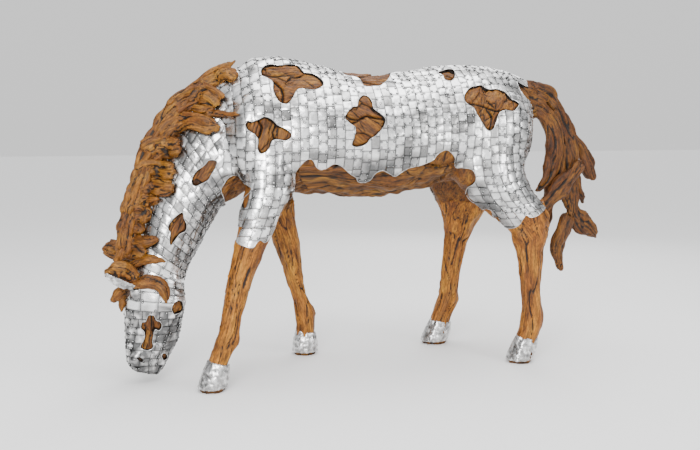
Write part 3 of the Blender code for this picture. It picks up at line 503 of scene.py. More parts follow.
def is_metal(region, place):
    """Whether a plate of this region may cover a place. Trunk and neck overlap by a few pixels."""
    belongs = in_neck(place, 0) if region == "neck" else not in_neck(place, NECK_OVERLAP)
    return belongs and not below_edge(place) and not window_at(place)


print("a plate on the barrel would lie at", [round(value, 3) for value in lay("trunk", 80, -1.0)[0]])

# %% [markdown]
# A plate is about the size of a matchbox: cut from sheet, hammered, a little domed, its edges tapped down.
# It is a small grid of squares, each corner of which is laid on the form by a ray and then raised, with
# an under face and walls that reach down to the wood. All plates come from the same few lines.

# %% Sizes of the plates
PLATE_CELLS = 5
CUT_CELLS = 8
PLATE_DOME = 0.0006
PLATE_RIM_DROP = 0.0006
PLATE_LIFT = 0.0052
PLATE_DEPTH = 0.0048
PLATE_TILT = 0.065
PLATE_UNEVEN = (-0.0004, 0.0008)
BROAD_DENT = (38, 0.0017)
SMALL_DENT = (95, 0.0010)
CELL_REACH = 0.032
AROUND = ((1, 0), (-1, 0), (0, 1), (0, -1), (1, 1), (-1, -1), (1, -1), (-1, 1))
print("cells of a whole plate:", PLATE_CELLS ** 2)

# %% [markdown]
# Plates differ: each has its own length, a small tilt, and a shade from white to grey where the hammer
# and the polish left it, and the sheet is greyed where it faces down, as painted shade. A plate that runs
# over a window or an edge is cut along it, as tin snips would: it gets a finer grid, squares beyond the line
# are left out, and the last corners are drawn back onto it.

# %% Heights and greys of a plate
PLATE_WIDTH = 3.9
PLATE_GAP = 0.0009
SHADE_DROPS = {"plates_neck": 0.26, "plates_head": 0.12, "plates_muzzle": 0.48}
MOTTLES = {"plates_neck": 0.35, "plates_muzzle": 0.8}
MOTTLE_SCALE = 52
SHADE_SPREAD = 0.55
PATCH_GREY = 0.75
PATCH_START = 0.12
# Painted shade: the rim of a plate's upper face, its walls and its under face are darkened for the gaps
# between plates.
EDGE_SHADE = 0.8
DEEP_SHADE = 1.4
SNIP_ROUNDS = 7
rng = random.Random(21)


class Plates:
    """All the plates of one piece while they are laid."""

    def __init__(self):
        self.places, self.faces, self.shades, self.rims, self.corners = [], [], [], [], []


def snip(region, kept, lost):
    """The last place of the metal on the way from a place on it to one beyond its edge."""
    low, high = 0.0, 1.0
    for _ in range(SNIP_ROUNDS):
        share = (low + high) / 2
        hit, _ = lay(region, kept[0] + (lost[0] - kept[0]) * share, kept[1] + (lost[1] - kept[1]) * share)
        if hit is not None and is_metal(region, hit):
            low = share
        else:
            high = share
    return kept[0] + (lost[0] - kept[0]) * low, kept[1] + (lost[1] - kept[1]) * low


def sheet_height(place, bend):
    """How far a plate's own tilt, its lift and the dents of the hammer raise it at a place."""
    lift, tilt, middle = bend
    dent = sum(noise.noise(place * often) * high for often, high in (BROAD_DENT, SMALL_DENT))
    return lift + dent + tilt.dot(place - middle)


def grey_at(place, normal):
    """How grey the sheet is at a place: greyer where it faces down, as painted shade, and in patches
    everywhere.
    """
    patch = noise.noise(place * 6.5) + 0.6 * noise.noise(place * 19)
    # Facing down greys the sheet as painted shade. The patches are the sheet's own tone.
    return max(0.0, -normal.z) + PATCH_GREY * max(0.0, patch - PATCH_START)


print("greyest plate:", 1 - SHADE_SPREAD)

# %% One sheet on the form


def raise_grid(plates, hits, tops, faces):
    """Adds a sheet from its places on the form: its upper face, its under face and the walls between."""
    start = len(plates.places)
    count = len(hits)
    shade = 1 - SHADE_SPREAD * rng.random() ** 3
    tilt = Vector((rng.uniform(-1, 1), rng.uniform(-1, 1), rng.uniform(-1, 1))) * PLATE_TILT
    bend = (rng.uniform(*PLATE_UNEVEN), tilt, sum((hit for hit, _ in hits), Vector()) / count)
    for (hit, normal), top in zip(hits, tops):
        plates.places.append(hit + normal * (top + sheet_height(hit, bend)))
    for hit, normal in hits:
        plates.places.append(hit + normal * (PLATE_LIFT - PLATE_DEPTH))
    edges_of = {}
    for face in faces:
        plates.faces.append(tuple(start + i for i in face))
        plates.faces.append(tuple(start + count + i for i in reversed(face)))
        for a, b in zip(face, face[1:] + face[:1]):
            if (b, a) in edges_of:
                del edges_of[(b, a)]
            else:
                edges_of[(a, b)] = True
    for a, b in edges_of:
        plates.faces.append((start + b, start + a, start + count + a, start + count + b))
    rim = {a for edge in edges_of for a in edge}
    plates.shades.extend([shade - grey_at(hit, normal) for hit, normal in hits] * 2)
    # The rim, the walls and the under face get painted shade for the gaps between plates.
    plates.rims.extend([EDGE_SHADE if i in rim else 0.0 for i in range(count)] + [DEEP_SHADE] * count)
    return bend


def is_sound(hits):
    """Whether the corners of a square lie close together and face one way, so that sheet can span them."""
    facing = sum((normal for _, normal in hits), Vector())
    widest = max((hit - other).length for hit, _ in hits for other, _ in hits)
    return widest < CELL_REACH and min(normal.dot(facing) for _, normal in hits) > 0


def lay_plate(plates, region, start, size, cells):
    """Bends one sheet onto the form, cut along the edge of the metal where it crosses it."""
    grid = {}
    for i in range(cells + 1):
        for j in range(cells + 1):
            here = (start[0] + size[0] * i / cells, start[1] + size[1] * j / cells)
            hit, normal = lay(region, *here)
            grid[i, j] = [here, hit, normal, hit is not None and is_metal(region, hit)]
    good = {key for key, (_, _, _, is_on_metal) in grid.items() if is_on_metal}
    if not good:
        return
    if len(good) < len(grid) and cells == PLATE_CELLS:
        lay_plate(plates, region, start, size, CUT_CELLS)
        return
    kept = [[(i, j), (i + 1, j), (i + 1, j + 1), (i, j + 1)] for i in range(cells) for j in range(cells)]
    kept = [cell for cell in kept if any(key in good for key in cell)]
    for key in {key for cell in kept for key in cell if key not in good}:
        anchor = next(other for other in ((key[0] + a, key[1] + b) for a, b in AROUND) if other in good)
        here = snip(region, grid[anchor][0], grid[key][0])
        grid[key][:3] = [here, *lay(region, *here)]
    kept = [cell for cell in kept if is_sound([grid[key][1:3] for key in cell])]
    keys = sorted({key for cell in kept for key in cell})
    if len(kept) < 2:
        return
    number = {key: k for k, key in enumerate(keys)}
    tops = []
    for i, j in keys:
        off = max(abs(2 * i / cells - 1), abs(2 * j / cells - 1))
        tops.append(PLATE_LIFT + PLATE_DOME * (1 - off ** 2) - PLATE_RIM_DROP * off ** 8)
    faces = [[number[key] for key in cell] for cell in kept]
    bend = raise_grid(plates, [grid[key][1:3] for key in keys], tops, faces)
    if len(good) == len(grid):
        ends = ((0, 0), (cells, 0), (cells, cells), (0, cells))
        plates.corners.append(([grid[key][1:3] for key in ends], bend))


print("squares of a plate that is cut:", CUT_CELLS ** 2)

# %% [markdown]
# A hoop is measured before its plates are laid, since the same step of the way round it is short over the
# back and long down the flank. The plates' lengths are then true ones, a little uneven as cut by hand.

# %% One hoop of plates
HOOP_POINTS = 321
LENGTH_SPREAD = (0.8, 1.25)
WIDTHS_ALLOWED = (0.012, 0.09)
STEP_ALLOWED = 0.03
MISSED_STEP = 0.002
LEAST_WAY = 0.004


def lay_column(plates, region, column, next_column, plate_length):
    """One hoop of plates: the hoop is measured first, then parted into plates of uneven length."""
    middle = (column + next_column) / 2
    ways = np.linspace(-2, 2, HOOP_POINTS)
    lengths = [0.0]
    last = None
    for way in ways:
        hit, _ = lay(region, middle, float(way))
        if last is not None:
            gap = (hit - last).length if hit is not None else MISSED_STEP
            lengths.append(lengths[-1] + min(gap, STEP_ALLOWED))
        last = hit if hit is not None else last
        if last is None:
            last = RAYS[region](middle, float(way))[0]
    lengths = np.array(lengths)
    at_length = -rng.uniform(0, plate_length)
    column_step = next_column - column
    while at_length < lengths[-1]:
        size = plate_length * rng.uniform(*LENGTH_SPREAD)
        way, next_way = np.interp([at_length, at_length + size], lengths, ways)
        middle_way = float((way + next_way) / 2)
        if next_way - way > LEAST_WAY and lay(region, middle, middle_way)[0] is not None:
            left, _ = lay(region, column, middle_way)
            right, _ = lay(region, next_column, middle_way)
            true_width = column_step * STEP
            if left is not None and right is not None:
                true_width = (left - right).length
            if WIDTHS_ALLOWED[0] < true_width < WIDTHS_ALLOWED[1]:
                column_gap = PLATE_GAP / true_width * column_step
                way_gap = PLATE_GAP / size * (next_way - way)
                start = (column + column_gap, float(way) + way_gap)
                span = (column_step - 2 * column_gap, float(next_way - way) - 2 * way_gap)
                lay_plate(plates, region, start, span, PLATE_CELLS)
        at_length += size


print("a hoop is measured at", HOOP_POINTS, "points")

# %% All the plates


def metal_object(title, places, faces, shades, rims):
    """One object of metal from places and faces, with what its material reads."""
    mesh = bpy.data.meshes.new(title)
    mesh.from_pydata(places, [], faces)
    piece = bpy.data.objects.new(title, mesh)
    bpy.context.scene.collection.objects.link(piece)
    keep_values(piece, "shade", shades)
    keep_values(piece, "rim", rims)
    return piece


def build_plates(title, region, start, end, plate_length):
    """Lays all the columns between two marks and makes one object of them."""
    plates = Plates()
    count = max(round((end - start) / PLATE_WIDTH), 1)
    marks = [start + (end - start) * i / count for i in range(count + 1)]
    marks = [marks[0]] + [mark + rng.uniform(-0.25, 0.25) for mark in marks[1:-1]] + [marks[-1]]
    for column, next_column in zip(marks, marks[1:]):
        lay_column(plates, region, column, next_column, plate_length)
    drop = SHADE_DROPS.get(title, 0)
    mottle = MOTTLES.get(title, 0)
    shades = [value - drop - mottle * noise.noise(place * MOTTLE_SCALE)
              for value, place in zip(plates.shades, plates.places)]
    piece = metal_object(title, plates.places, plates.faces, shades, plates.rims)
    print(title, len(plates.corners), "plates", sum(len(face) - 2 for face in plates.faces), "triangles")
    return piece, plates.corners


plate_pieces = []
all_corners = []
for title, region, start, end, plate_length in (
        ("plates_shoulder", "trunk", 2.0, 60.5, 0.046),
        ("plates_barrel", "trunk", 60.5, 111.2, 0.046),
        ("plates_haunch", "trunk", 111.2, 179.0, 0.046),
        ("plates_neck", "neck", 0.0, 76.0, 0.044),
        ("plates_head", "neck", 76.0, 100.0, 0.066),
        ("plates_muzzle", "neck", 100.0, NECK_END + 9.0, 0.040)):
    piece, corners = build_plates(title, region, start, end, plate_length)
    plate_pieces.append(piece)
    all_corners.extend(corners)
print("plates in all:", len(all_corners))

# %% [markdown]
# Small round nails hold the plates. Their heads sit near the corners, a few at each plate, and here and
# there a punch has left a ring. A nail is a small pressed ball on a flat dark disc, which is painted shade
# round its foot, and both are copied to their places. Each ring is painted dark, as the shade in a punched
# dent. The near side and the far side are one object each.

# %% Nails and punched rings
NAIL_RADIUS = 0.0025
NAIL_RISE = 0.0016
NAIL_SQUEEZE = 0.6
NAIL_INSETS = (0.007, 0.012)
# The dark disc under each nail head is painted shade round its foot.
NAIL_SHADE_RADIUS = 0.0056
NAIL_SHADE_DEPTH = 0.0024
RING_RADIUS = 0.0054
RING_WIRE = 0.0013
RING_RISE = 0.0008
# Punched rings are painted dark, as the shade in their dents.
RING_SHADE = 1.1
RING_SPREAD = (0.35, 0.65)
LEAST_DIAGONALS = {"nail": 0.025, "ring": 0.03}
FAR_SHARE = 0.8
NAIL_SHARE = 0.62
RING_SHARE = 0.14


def solid_pattern(operator, **settings):
    """The vertices and faces of a primitive, after which the primitive is removed."""
    bpy.ops.object.select_all(action="DESELECT")
    operator(**settings)
    made = bpy.context.object
    places = [tuple(vertex.co) for vertex in made.data.vertices]
    faces = [tuple(face.vertices) for face in made.data.polygons]
    bpy.data.objects.remove(made)
    return places, faces


def stand_on(place, normal, pattern_of_it, height, squeeze, rim, store):
    """Copies a small pattern onto a place, standing along the direction out of the metal."""
    turned = normal.to_track_quat("Z", "Y")
    start = len(store["places"])
    points, faces_of_it = pattern_of_it
    for x, y, z in points:
        store["places"].append(place + normal * height + turned @ Vector((x, y, z * squeeze)))
    store["rims"].extend([rim] * len(points))
    store["faces"].extend(tuple(start + i for i in face) for face in faces_of_it)


nail = solid_pattern(bpy.ops.mesh.primitive_uv_sphere_add, segments=5, ring_count=3, radius=NAIL_RADIUS)
nail_shade_disc = solid_pattern(bpy.ops.mesh.primitive_cylinder_add, vertices=6, radius=NAIL_SHADE_RADIUS, depth=NAIL_SHADE_DEPTH)
ring = solid_pattern(bpy.ops.mesh.primitive_torus_add, major_segments=11, minor_segments=3,
                     major_radius=RING_RADIUS, minor_radius=RING_WIRE)
stores = {side: {"places": [], "faces": [], "rims": []} for side in (-1, 1)}
for corners, bend in all_corners:
    store = stores[-1 if corners[0][0].y < 0 else 1]
    for i in range(4):
        (place, normal), (other, _) = corners[i], corners[(i + 2) % 4]
        share = NAIL_SHARE * (1 if place.y < 0 else FAR_SHARE)
        if rng.random() < share and (other - place).length > LEAST_DIAGONALS["nail"]:
            at_nail = place + (other - place).normalized() * rng.uniform(*NAIL_INSETS)
            at_nail, normal, _, _ = surface.find_nearest(at_nail)
            height = PLATE_LIFT + PLATE_DOME + sheet_height(at_nail, bend)
            # The dark disc is painted shade round the nail's foot.
            stand_on(at_nail, normal, nail_shade_disc, height, 1.0, DEEP_SHADE, store)
            stand_on(at_nail, normal, nail, height + NAIL_RISE, NAIL_SQUEEZE, 0.0, store)
    (place, normal), (other, _) = corners[0], corners[2]
    if rng.random() < RING_SHARE and (other - place).length > LEAST_DIAGONALS["ring"]:
        at_ring, normal, _, _ = surface.find_nearest(place.lerp(other, rng.uniform(*RING_SPREAD)))
        height = PLATE_LIFT + PLATE_DOME + sheet_height(at_ring, bend)
        # The ring is painted dark, as the shade in a punched dent.
        stand_on(at_ring, normal, ring, height + RING_RISE, 1.0, RING_SHADE, store)
nail_pieces = []
for side, title in ((-1, "nails_near"), (1, "nails_far")):
    store = stores[side]
    nails = metal_object(title, store["places"], store["faces"], [1.0] * len(store["places"]), store["rims"])
    nail_pieces.append(nails)
    print(title, sum(len(face) - 2 for face in store["faces"]), "triangles")

# %% [markdown]
# Along every window and along the lower edge the metal is folded into a narrow bright lip.
# The lip is a thin round wire that follows the same outlines, laid on the metal along the lines of sight.

# %% Lips of the windows and the lower edges
LIP_RADIUS = 0.0015
LIPLESS = ("forearm", "nostril")
LIP_JUMP = 0.045
LIP_SHADE = 0.6
LIP_SPREAD = (0.75, 1.2)
GLANCING = -0.12


def lip_chains(outline, side, others):
    """The stretches of an outline that lie on the metal, outside the other openings, as rows of places."""
    chains = [[]]
    for x, y in outline + outline[:1]:
        start, away = sight(x, y, side)
        hit, normal, _, _ = surface.ray_cast(start, away)
        if hit is None or normal.dot(away) > GLANCING or any(inside(other, x, y) for other in others):
            chains.append([])
            continue
        place = hit + normal * PLATE_LIFT
        if chains[-1] and (place - chains[-1][-1]).length > LIP_JUMP:
            chains.append([])
        chains[-1].append(place)
    return [chain for chain in chains if len(chain) > 2]


def wire(title, rows, radius):
    """A round wire along rows of places, as a mesh object."""
    curve = bpy.data.curves.new(title, "CURVE")
    curve.dimensions = "3D"
    curve.bevel_depth = 1.0
    curve.bevel_resolution = 1
    curve.use_fill_caps = True
    for row in rows:
        spline = curve.splines.new("POLY")
        spline.points.add(len(row) - 1)
        for point, (place, thick) in zip(spline.points, row):
            point.co = (*place, 1)
            point.radius = thick * radius
    made = bpy.data.objects.new(title, curve)
    bpy.context.scene.collection.objects.link(made)
    bpy.ops.object.select_all(action="DESELECT")
    made.select_set(True)
    bpy.context.view_layer.objects.active = made
    bpy.ops.object.convert(target="MESH")
    return bpy.context.view_layer.objects.active


lip_rows = []
for side in (-1, 1):
    outlines = [opening[0] for name, opening in openings[side].items() if name not in LIPLESS] + [edges[side]]
    for outline in outlines:
        for chain in lip_chains(outline, side, [other for other in outlines if other is not outline]):
            lip_rows.append([(place, rng.uniform(*LIP_SPREAD)) for place in chain])
lips = wire("lips", lip_rows, LIP_RADIUS)
keep_values(lips, "shade", [LIP_SHADE] * len(lips.data.vertices))
keep_values(lips, "rim", [0.0] * len(lips.data.vertices))
print("lips:", len(lip_rows), "stretches")

# %% [markdown]
# Driftwood is grey-gold and red-brown, polished by the water, with dark cracks along its grain. The grain
# follows each branch, so every wooden piece first finds its own middle line: its points are sorted along
# their main direction, and the means of the slices are that line. The way along it and the two ways across
# are stored with each vertex, and both the carving and the colours are worked out from them.

# %% The grain of a piece of wood
SLICES = 7


def grain_along(places, line, sides):
    """For each point its way along a line, and its two ways across it, to the side and out."""
    steps = np.diff(line, axis=0)
    lengths = np.linalg.norm(steps, axis=1)
    marks = np.concatenate([[0], np.cumsum(lengths)])
    best = np.full(len(places), 1e9)
    result = np.zeros((len(places), 3))
    for i, step in enumerate(steps):
        share = np.clip(((places - line[i]) @ step) / lengths[i] ** 2, 0, 1)
        offset = places - (line[i] + share[:, None] * step)
        distance = np.linalg.norm(offset, axis=1)
        closer = distance < best
        best[closer] = distance[closer]
        out = np.cross(step, sides[i])
        out /= np.linalg.norm(out)
        result[closer, 0] = (marks[i] + share * lengths[i])[closer]
        result[closer, 1] = (offset @ sides[i])[closer]
        result[closer, 2] = (offset @ out)[closer]
    return result


def grain_of(places):
    """The grain of a piece whose middle line is found from its own points."""
    centre = places.mean(0)
    _, _, axes = np.linalg.svd(places - centre, full_matrices=False)
    along = (places - centre) @ axes[0]
    cuts = np.linspace(along.min(), along.max(), SLICES + 1)
    line = []
    for low, high in zip(cuts, cuts[1:]):
        chosen = (along >= low) & (along <= high)
        if chosen.sum() > 3:
            line.append(places[chosen].mean(0))
    line = np.array(line)
    line = np.vstack([line[0] * 2 - line[1], line, line[-1] * 2 - line[-2]])
    return grain_along(places, line, [axes[2]] * (len(line) - 1))


print("grain slices:", SLICES)

# %% [markdown]
# Weather opens wood along its grain. Noise on the grain's own coordinates gives long waves, knots, grooves
# and fibres, and each point keeps how dark it lies, so that the material can blacken the cracks with their
# own dark and painted shade. Other hollows get painted shade too. They are found by comparing the skin with a
# smoothed copy of it.

# %% Carving
HOLLOW_ROUNDS = 14
wood_pieces = []


def hollows(piece):
    """How far each point lies in a hollow, in millimetres: its distance below the smoothed skin."""
    places, normals = places_of(piece)
    softer = piece.copy()
    softer.data = piece.data.copy()
    bpy.context.scene.collection.objects.link(softer)
    work(softer, "SMOOTH", factor=0.5, iterations=HOLLOW_ROUNDS)
    smoothed, _ = places_of(softer)
    bpy.data.objects.remove(softer)
    return ((smoothed - places) * normals).sum(1) * 1000


def carve(piece, grain, seed, swell, crack, fibre, move=None, depth=None, room=None, shadow=0.45, fine=None):
    """Moves the surface in and out as weather does, and gives how dark each point is in its cracks.

    Waves and knots swell it, grooves and rarer, deeper crevices cut it along the grain, and threads are the
    single fibres. A point never moves out past its room, and it gets only its fine share of the cracks.
    The darkness is the cracks' own dark with painted shade in grooves, crevices, fibres and knots, and
    painted shade in the hollows of the skin, scaled by shadow.
    """
    places, normals = places_of(piece)
    move = np.zeros(len(places)) if move is None else move
    depth = np.zeros(len(places)) if depth is None else depth
    fine = np.ones(len(places)) if fine is None else fine
    for i, (u, v, w) in enumerate(grain):
        wave = noise.noise((u * 6 + seed, v * 15, w * 15))
        knot = noise.noise((u * 22, v * 32 + seed, w * 32))
        split = noise.noise((u * 3.4 + seed, v * 38 + wave, w * 38 + wave))
        where = noise.noise((u * 6, v * 11, w * 11 + seed))
        thread = noise.noise((u * 11, v * 125, w * 125 + seed))
        groove = fine[i] * max(0.0, 1 - abs(split) * 9) * min(max(where * 3 + 0.4, 0.0), 1.0)
        deep = noise.noise((u * 2.0, v * 17 + 0.5 * wave, w * 17 + seed))
        crevice = fine[i] * max(0.0, 1 - abs(deep) * 15) * min(max(0.5 - where * 3, 0.0), 1.0)
        move[i] += swell * (wave + 0.45 * knot) - crack * (groove + 1.3 * crevice) + fibre * thread
        # Painted shade: grooves, crevices, sunken fibres and knots darken, over the cracks' own dark.
        depth[i] += 0.40 * groove + 0.45 * crevice + 0.25 * max(0.0, -thread) + 0.2 * max(0.0, -knot)
    if room is not None:
        move = np.minimum(move, room)
    write_places(piece, places + normals * move[:, None])
    # Hollows of the skin get painted shade, and ridges lose a little of it.
    return depth + np.clip(hollows(piece) * shadow, -0.25, 1.0)


def finish_wood(piece, grain, depth, seed):
    """Stores what the wood's material reads."""
    keep_values(piece, "grain", grain + [seed % 7.0, 0, 0], "FLOAT_VECTOR")
    keep_values(piece, "depth", depth)
    wood_pieces.append(piece)


print("rounds that find the hollows:", HOLLOW_ROUNDS)

# %% [markdown]
# The legs and the belly log are whole branches. A voxel remesh gives each an even skin of small squares,
# relaxing rounds its facets, and the carving cuts cracks into it that follow its grain.
# Bony swellings stand out at the fetlocks and the hocks, and the lowest centimetre of each leg is black.

# %% Legs and the belly log
SEED_STEP = 0.37
SOLE_TOP = 0.012
SOLE_DARK = 0.9
HOOF_ROOM = 0.13
BUMPS = {
    "leg_near_fore": [(12.0, -22.4, 21.5), (8, -17.5, 64), (22, -22, 56)],
    "leg_far_fore": [(58.6, 22.4, 22.5), (46, 20, 58)],
    "leg_near_hind": [(163.2, -22.4, 22.0), (158, -23, 68), (150, -24, 62)],
    "leg_far_hind": [(138.4, 22.4, 22.5), (134, 20, 64), (146, 16, 70)],
    "belly_log": [(46, -14, 92), (56, -12, 84), (64, -13, 88), (72, -12, 82), (84, -15, 91), (91, -10, 86),
                  (98, -12, 96)],
}
BUMP_RISE = 0.014
BUMP_REACH = 0.040
# A carving is the voxel, the rounds of relaxing, and how far swellings, cracks and fibres move the skin.
LEG_CARVING = (0.0064, 3, 0.0065, 0.0055, 0.0014)
LOG_CARVING = (0.0064, 3, 0.026, 0.009, 0.0020)
BARE_ROOM = 0.03
COVERED_ROOM = -0.002
SEAM_BAND = 0.045
SEAM_RISE = 0.024
SEAM_REACH = 0.012
SEAM_LIFT = 0.0012
print("swellings:", sum(len(bumps) for bumps in BUMPS.values()))

# %% Dressing a branch


def dress_wood(name, voxel, rounds, swell, crack, fibre):
    """A finished wooden piece that stands for the node of the same name."""
    piece = start_from([name], name + "_wood")
    work(piece, "REMESH", mode="VOXEL", voxel_size=voxel)
    relax(piece, rounds)
    places, _ = places_of(piece)
    grain = grain_of(places)
    seed = sum(ord(letter) for letter in name) * SEED_STEP
    move = np.zeros(len(places))
    for bump in BUMPS[name]:
        away = ((places - np.array(spot(*bump))) ** 2).sum(1)
        move += BUMP_RISE * np.exp(-away / BUMP_REACH ** 2)
    dark = np.where((places[:, 2] < SOLE_TOP) & (name != "belly_log"), SOLE_DARK, 0.0)
    room = np.array([BARE_ROOM if below_edge(Vector(place)) else COVERED_ROOM for place in places])
    room[places[:, 2] < HOOF_ROOM] = 0.0
    if name != "belly_log":
        meet_form(piece, places[:, 2].max())
    depth = carve(piece, grain, seed, swell, crack, fibre, move, dark, room)
    stand_on_ground(piece)
    finish_wood(piece, grain, depth, seed)
    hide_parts(name)


def meet_form(piece, top):
    """Draws the top of a leg up over the body in ragged tongues that lie close on the smooth form."""
    places, _ = places_of(piece)
    for i in np.flatnonzero(places[:, 2] > top - SEAM_BAND):
        place = Vector(places[i])
        share = (place.z - top + SEAM_BAND) / SEAM_BAND
        place.z += share * SEAM_RISE * (1 + 1.2 * noise.noise(Vector((place.x, place.y, 0)) * 32))
        near, normal, _, distance = surface.find_nearest(place)
        places[i] = near + normal * SEAM_LIFT if distance < SEAM_REACH else place
    write_places(piece, places)


def stand_on_ground(piece):
    """Keeps the soles flat on the floor."""
    places, _ = places_of(piece)
    places[:, 2] = np.maximum(places[:, 2], 0.0)
    write_places(piece, places)


for name in LEG_NAMES:
    dress_wood(name, *LEG_CARVING)
dress_wood("belly_log", *LOG_CARVING)
print("carved", len(wood_pieces), "large pieces")

# %% [markdown]
# The mane, the forelock, the ears and the tail are torn branches, each a sheaf of strands grown together.
# A lock is drawn by its route as the picture shows it, in pixels, and it lies on the neck where the lines of
# sight meet it, or hangs over the crest where they miss. A few tubes run side by side along the route,
# wander a little and end unevenly, and a voxel remesh grows them into one piece of wood.

# %% Routes of the locks
# A lock of the mane has a route in pixels, a half width in pixels, its strands and its width at the tip.
MANE = {
    "mane_crest_1": ([(234, 64), (222, 72), (208, 82), (192, 92), (177, 103), (168, 112)], 8.5, 5, 0.8),
    "mane_crest_2": ([(188, 96), (176, 109), (166, 123), (159, 138)], 12.5, 6, 0.9),
    "mane_crest_3": ([(164, 127), (155, 144), (148, 160), (142, 178)], 12.5, 6, 0.9),
    "mane_crest_4": ([(145, 167), (139, 184), (134, 200), (130, 215)], 12.0, 6, 0.9),
    "mane_crest_5": ([(133, 205), (129, 222), (127, 238), (126, 256)], 11.0, 5, 0.9),
    "mane_lock_1": ([(204, 83), (214, 74), (225, 67), (236, 60)], 5.0, 3, 0.4),
    "mane_lock_2": ([(198, 88), (212, 81), (227, 78), (239, 80)], 9.5, 4, 0.8),
    "mane_lock_3": ([(170, 113), (184, 101), (201, 96), (214, 100), (222, 107)], 12.5, 5, 0.7),
    "mane_lock_4": ([(194, 110), (206, 112), (218, 108)], 4.5, 2, 0.6),
    "mane_lock_5": ([(204, 115), (222, 115), (244, 115.5)], 3.4, 2, 0.5),
    "mane_lock_6": ([(157, 139), (170, 125), (190, 122), (207, 126), (222, 128)], 11.0, 5, 0.85),
    "mane_lock_7": ([(144, 156), (158, 146), (172, 148), (185, 150)], 14.0, 5, 0.85),
    "mane_lock_8": ([(137, 174), (150, 166), (164, 172), (178, 172)], 11.0, 5, 0.9),
    "mane_lock_9": ([(133, 191), (148, 184), (163, 188), (177, 188)], 10.0, 4, 0.85),
    "mane_lock_10": ([(129, 204), (140, 202), (152, 200), (163, 200)], 8.5, 3, 0.6),
    "mane_lock_11": ([(126, 217), (136, 211), (146, 215), (149, 225)], 11.0, 4, 0.8),
    "mane_lock_12": ([(121, 231), (133, 227), (147, 232)], 9.5, 4, 0.8),
    "mane_lock_13": ([(123, 247), (138, 241), (150, 243), (160, 238)], 7.5, 3, 0.4),
    "mane_lock_14": ([(123, 257), (136, 251), (149, 252)], 9.0, 4, 0.7),
    "mane_lock_15": ([(117, 265), (121, 255), (124, 246)], 6.0, 2, 0.7),
    "forelock_1": ([(130, 275), (137, 265), (150, 259), (166, 261)], 6.0, 3, 0.35),
    "forelock_2": ([(133, 287), (142, 283), (152, 279), (161, 284), (165, 293), (167, 303)], 7.0, 3, 0.4),
    "forelock_3": ([(128, 286), (120, 293), (111, 302)], 6.5, 3, 0.25),
    "forelock_4": ([(121, 293), (122, 302), (121, 313)], 4.5, 2, 0.2),
}
FAR_MANE = {
    "mane_far_1": ([(200, 92), (216, 93), (232, 98)], 9.0, 4, 0.7),
    "mane_far_2": ([(164, 132), (184, 128), (202, 136)], 10.0, 4, 0.8),
    "mane_far_3": ([(142, 168), (160, 164), (176, 172)], 9.5, 4, 0.8),
    "mane_far_4": ([(127, 215), (142, 208), (158, 214)], 9.0, 4, 0.7),
}
# The tail and the ears are given in steps: route (x, y, z, half width, half thickness), and how many strands.
TAIL = {
    "tail_root": ([(157, 0, 131, 5.5, 5.0), (164, 0, 130.5, 7.6, 5.4), (171, 0, 127, 9.4, 5.2),
                   (178, 0, 120, 8.0, 4.4)], 5),
    "tail_strand_inner": ([(167, -3, 126, 4.0, 2.8), (175, -4, 118, 5.6, 2.8), (178.6, -4, 108, 6.0, 2.6),
                           (178, -3.5, 98, 5.4, 2.3), (175.5, -3.5, 89, 4.2, 2.0),
                           (168.6, -3.5, 82, 1.6, 0.9)], 4),
    "tail_strand_middle": ([(177, 0.5, 127, 5.0, 2.8), (184, 0.5, 115, 7.6, 3.0), (187, 0.5, 102, 8.4, 3.2),
                            (188.5, 0.5, 90, 8.0, 3.0), (191, 0, 80, 6.6, 2.8), (191, 0, 68, 5.2, 2.5)], 5),
    "tail_strand_outer": ([(174, 3.5, 134.6, 2.8, 2.6), (182, 4.5, 129.5, 3.3, 2.6),
                           (189, 5, 119, 3.1, 2.5), (195.2, 5, 110, 2.9, 2.4),
                           (200.8, 4.5, 101.8, 3.3, 2.6), (205, 4, 93.5, 4.6, 3.0),
                           (208, 4, 87, 4.4, 2.6)], 3),
    "tail_plank": ([(194, -5.0, 98, 3.0, 1.8), (187, -6.2, 89, 5.4, 2.0), (177, -7.0, 80.5, 5.4, 2.0),
                    (169, -7.6, 74, 3.4, 1.4)], 4),
    "tail_tip_low": ([(190, -1.5, 72, 5.0, 2.4), (186, -2, 61.5, 5.0, 2.4), (184, -2, 52.5, 4.0, 2.0),
                      (185, -2, 45, 2.4, 1.4), (186.4, -2, 39.5, 1.2, 0.8)], 3),
    "tail_tip_back": ([(192, 1.5, 76, 4.2, 2.2), (198, 2, 67, 5.6, 2.6), (203.8, 2, 61, 5.2, 2.0),
                       (209.6, 2, 56, 1.8, 1.2)], 3),
    "tail_spur": ([(194, 3.8, 94, 3.0, 2.0), (198.8, 4.4, 83, 2.8, 1.8), (202.6, 4.6, 74, 1.2, 0.9)], 2),
    "tail_strand_deep": ([(182, 5, 88, 3.0, 1.8), (181.6, 5.4, 73, 2.8, 1.8), (180.4, 5.4, 61, 2.2, 1.5),
                          (178, 5.4, 51, 1.0, 0.7)], 2),
}
EARS = {
    "ear_near": ([(-29.0, -7.0, 47.2, 2.8, 1.2), (-33.5, -8.4, 50.8, 5.6, 1.2),
                  (-38.5, -9.6, 52.8, 5.6, 1.2), (-43.4, -10.8, 53.6, 2.2, 0.8)], 3),
    "ear_far": ([(-30.5, 7.0, 52.0, 2.6, 1.8), (-35.0, 8.2, 57.4, 4.4, 1.8), (-39.6, 9.0, 60.4, 4.9, 1.8),
                 (-43.0, 9.4, 61.4, 3.4, 1.5)], 3),
}
FACINGS = {"tail": Vector((0, -1, 0)), "ear_near": Vector((-0.25, -1.0, -0.15)),
           "ear_far": Vector((-0.25, 1.0, -0.15))}
PIXEL = 0.0047
CREST_OUT = 0.012
STATIONS = 14
print("locks:", len(MANE) + len(FAR_MANE), "strands of the tail:", len(TAIL))

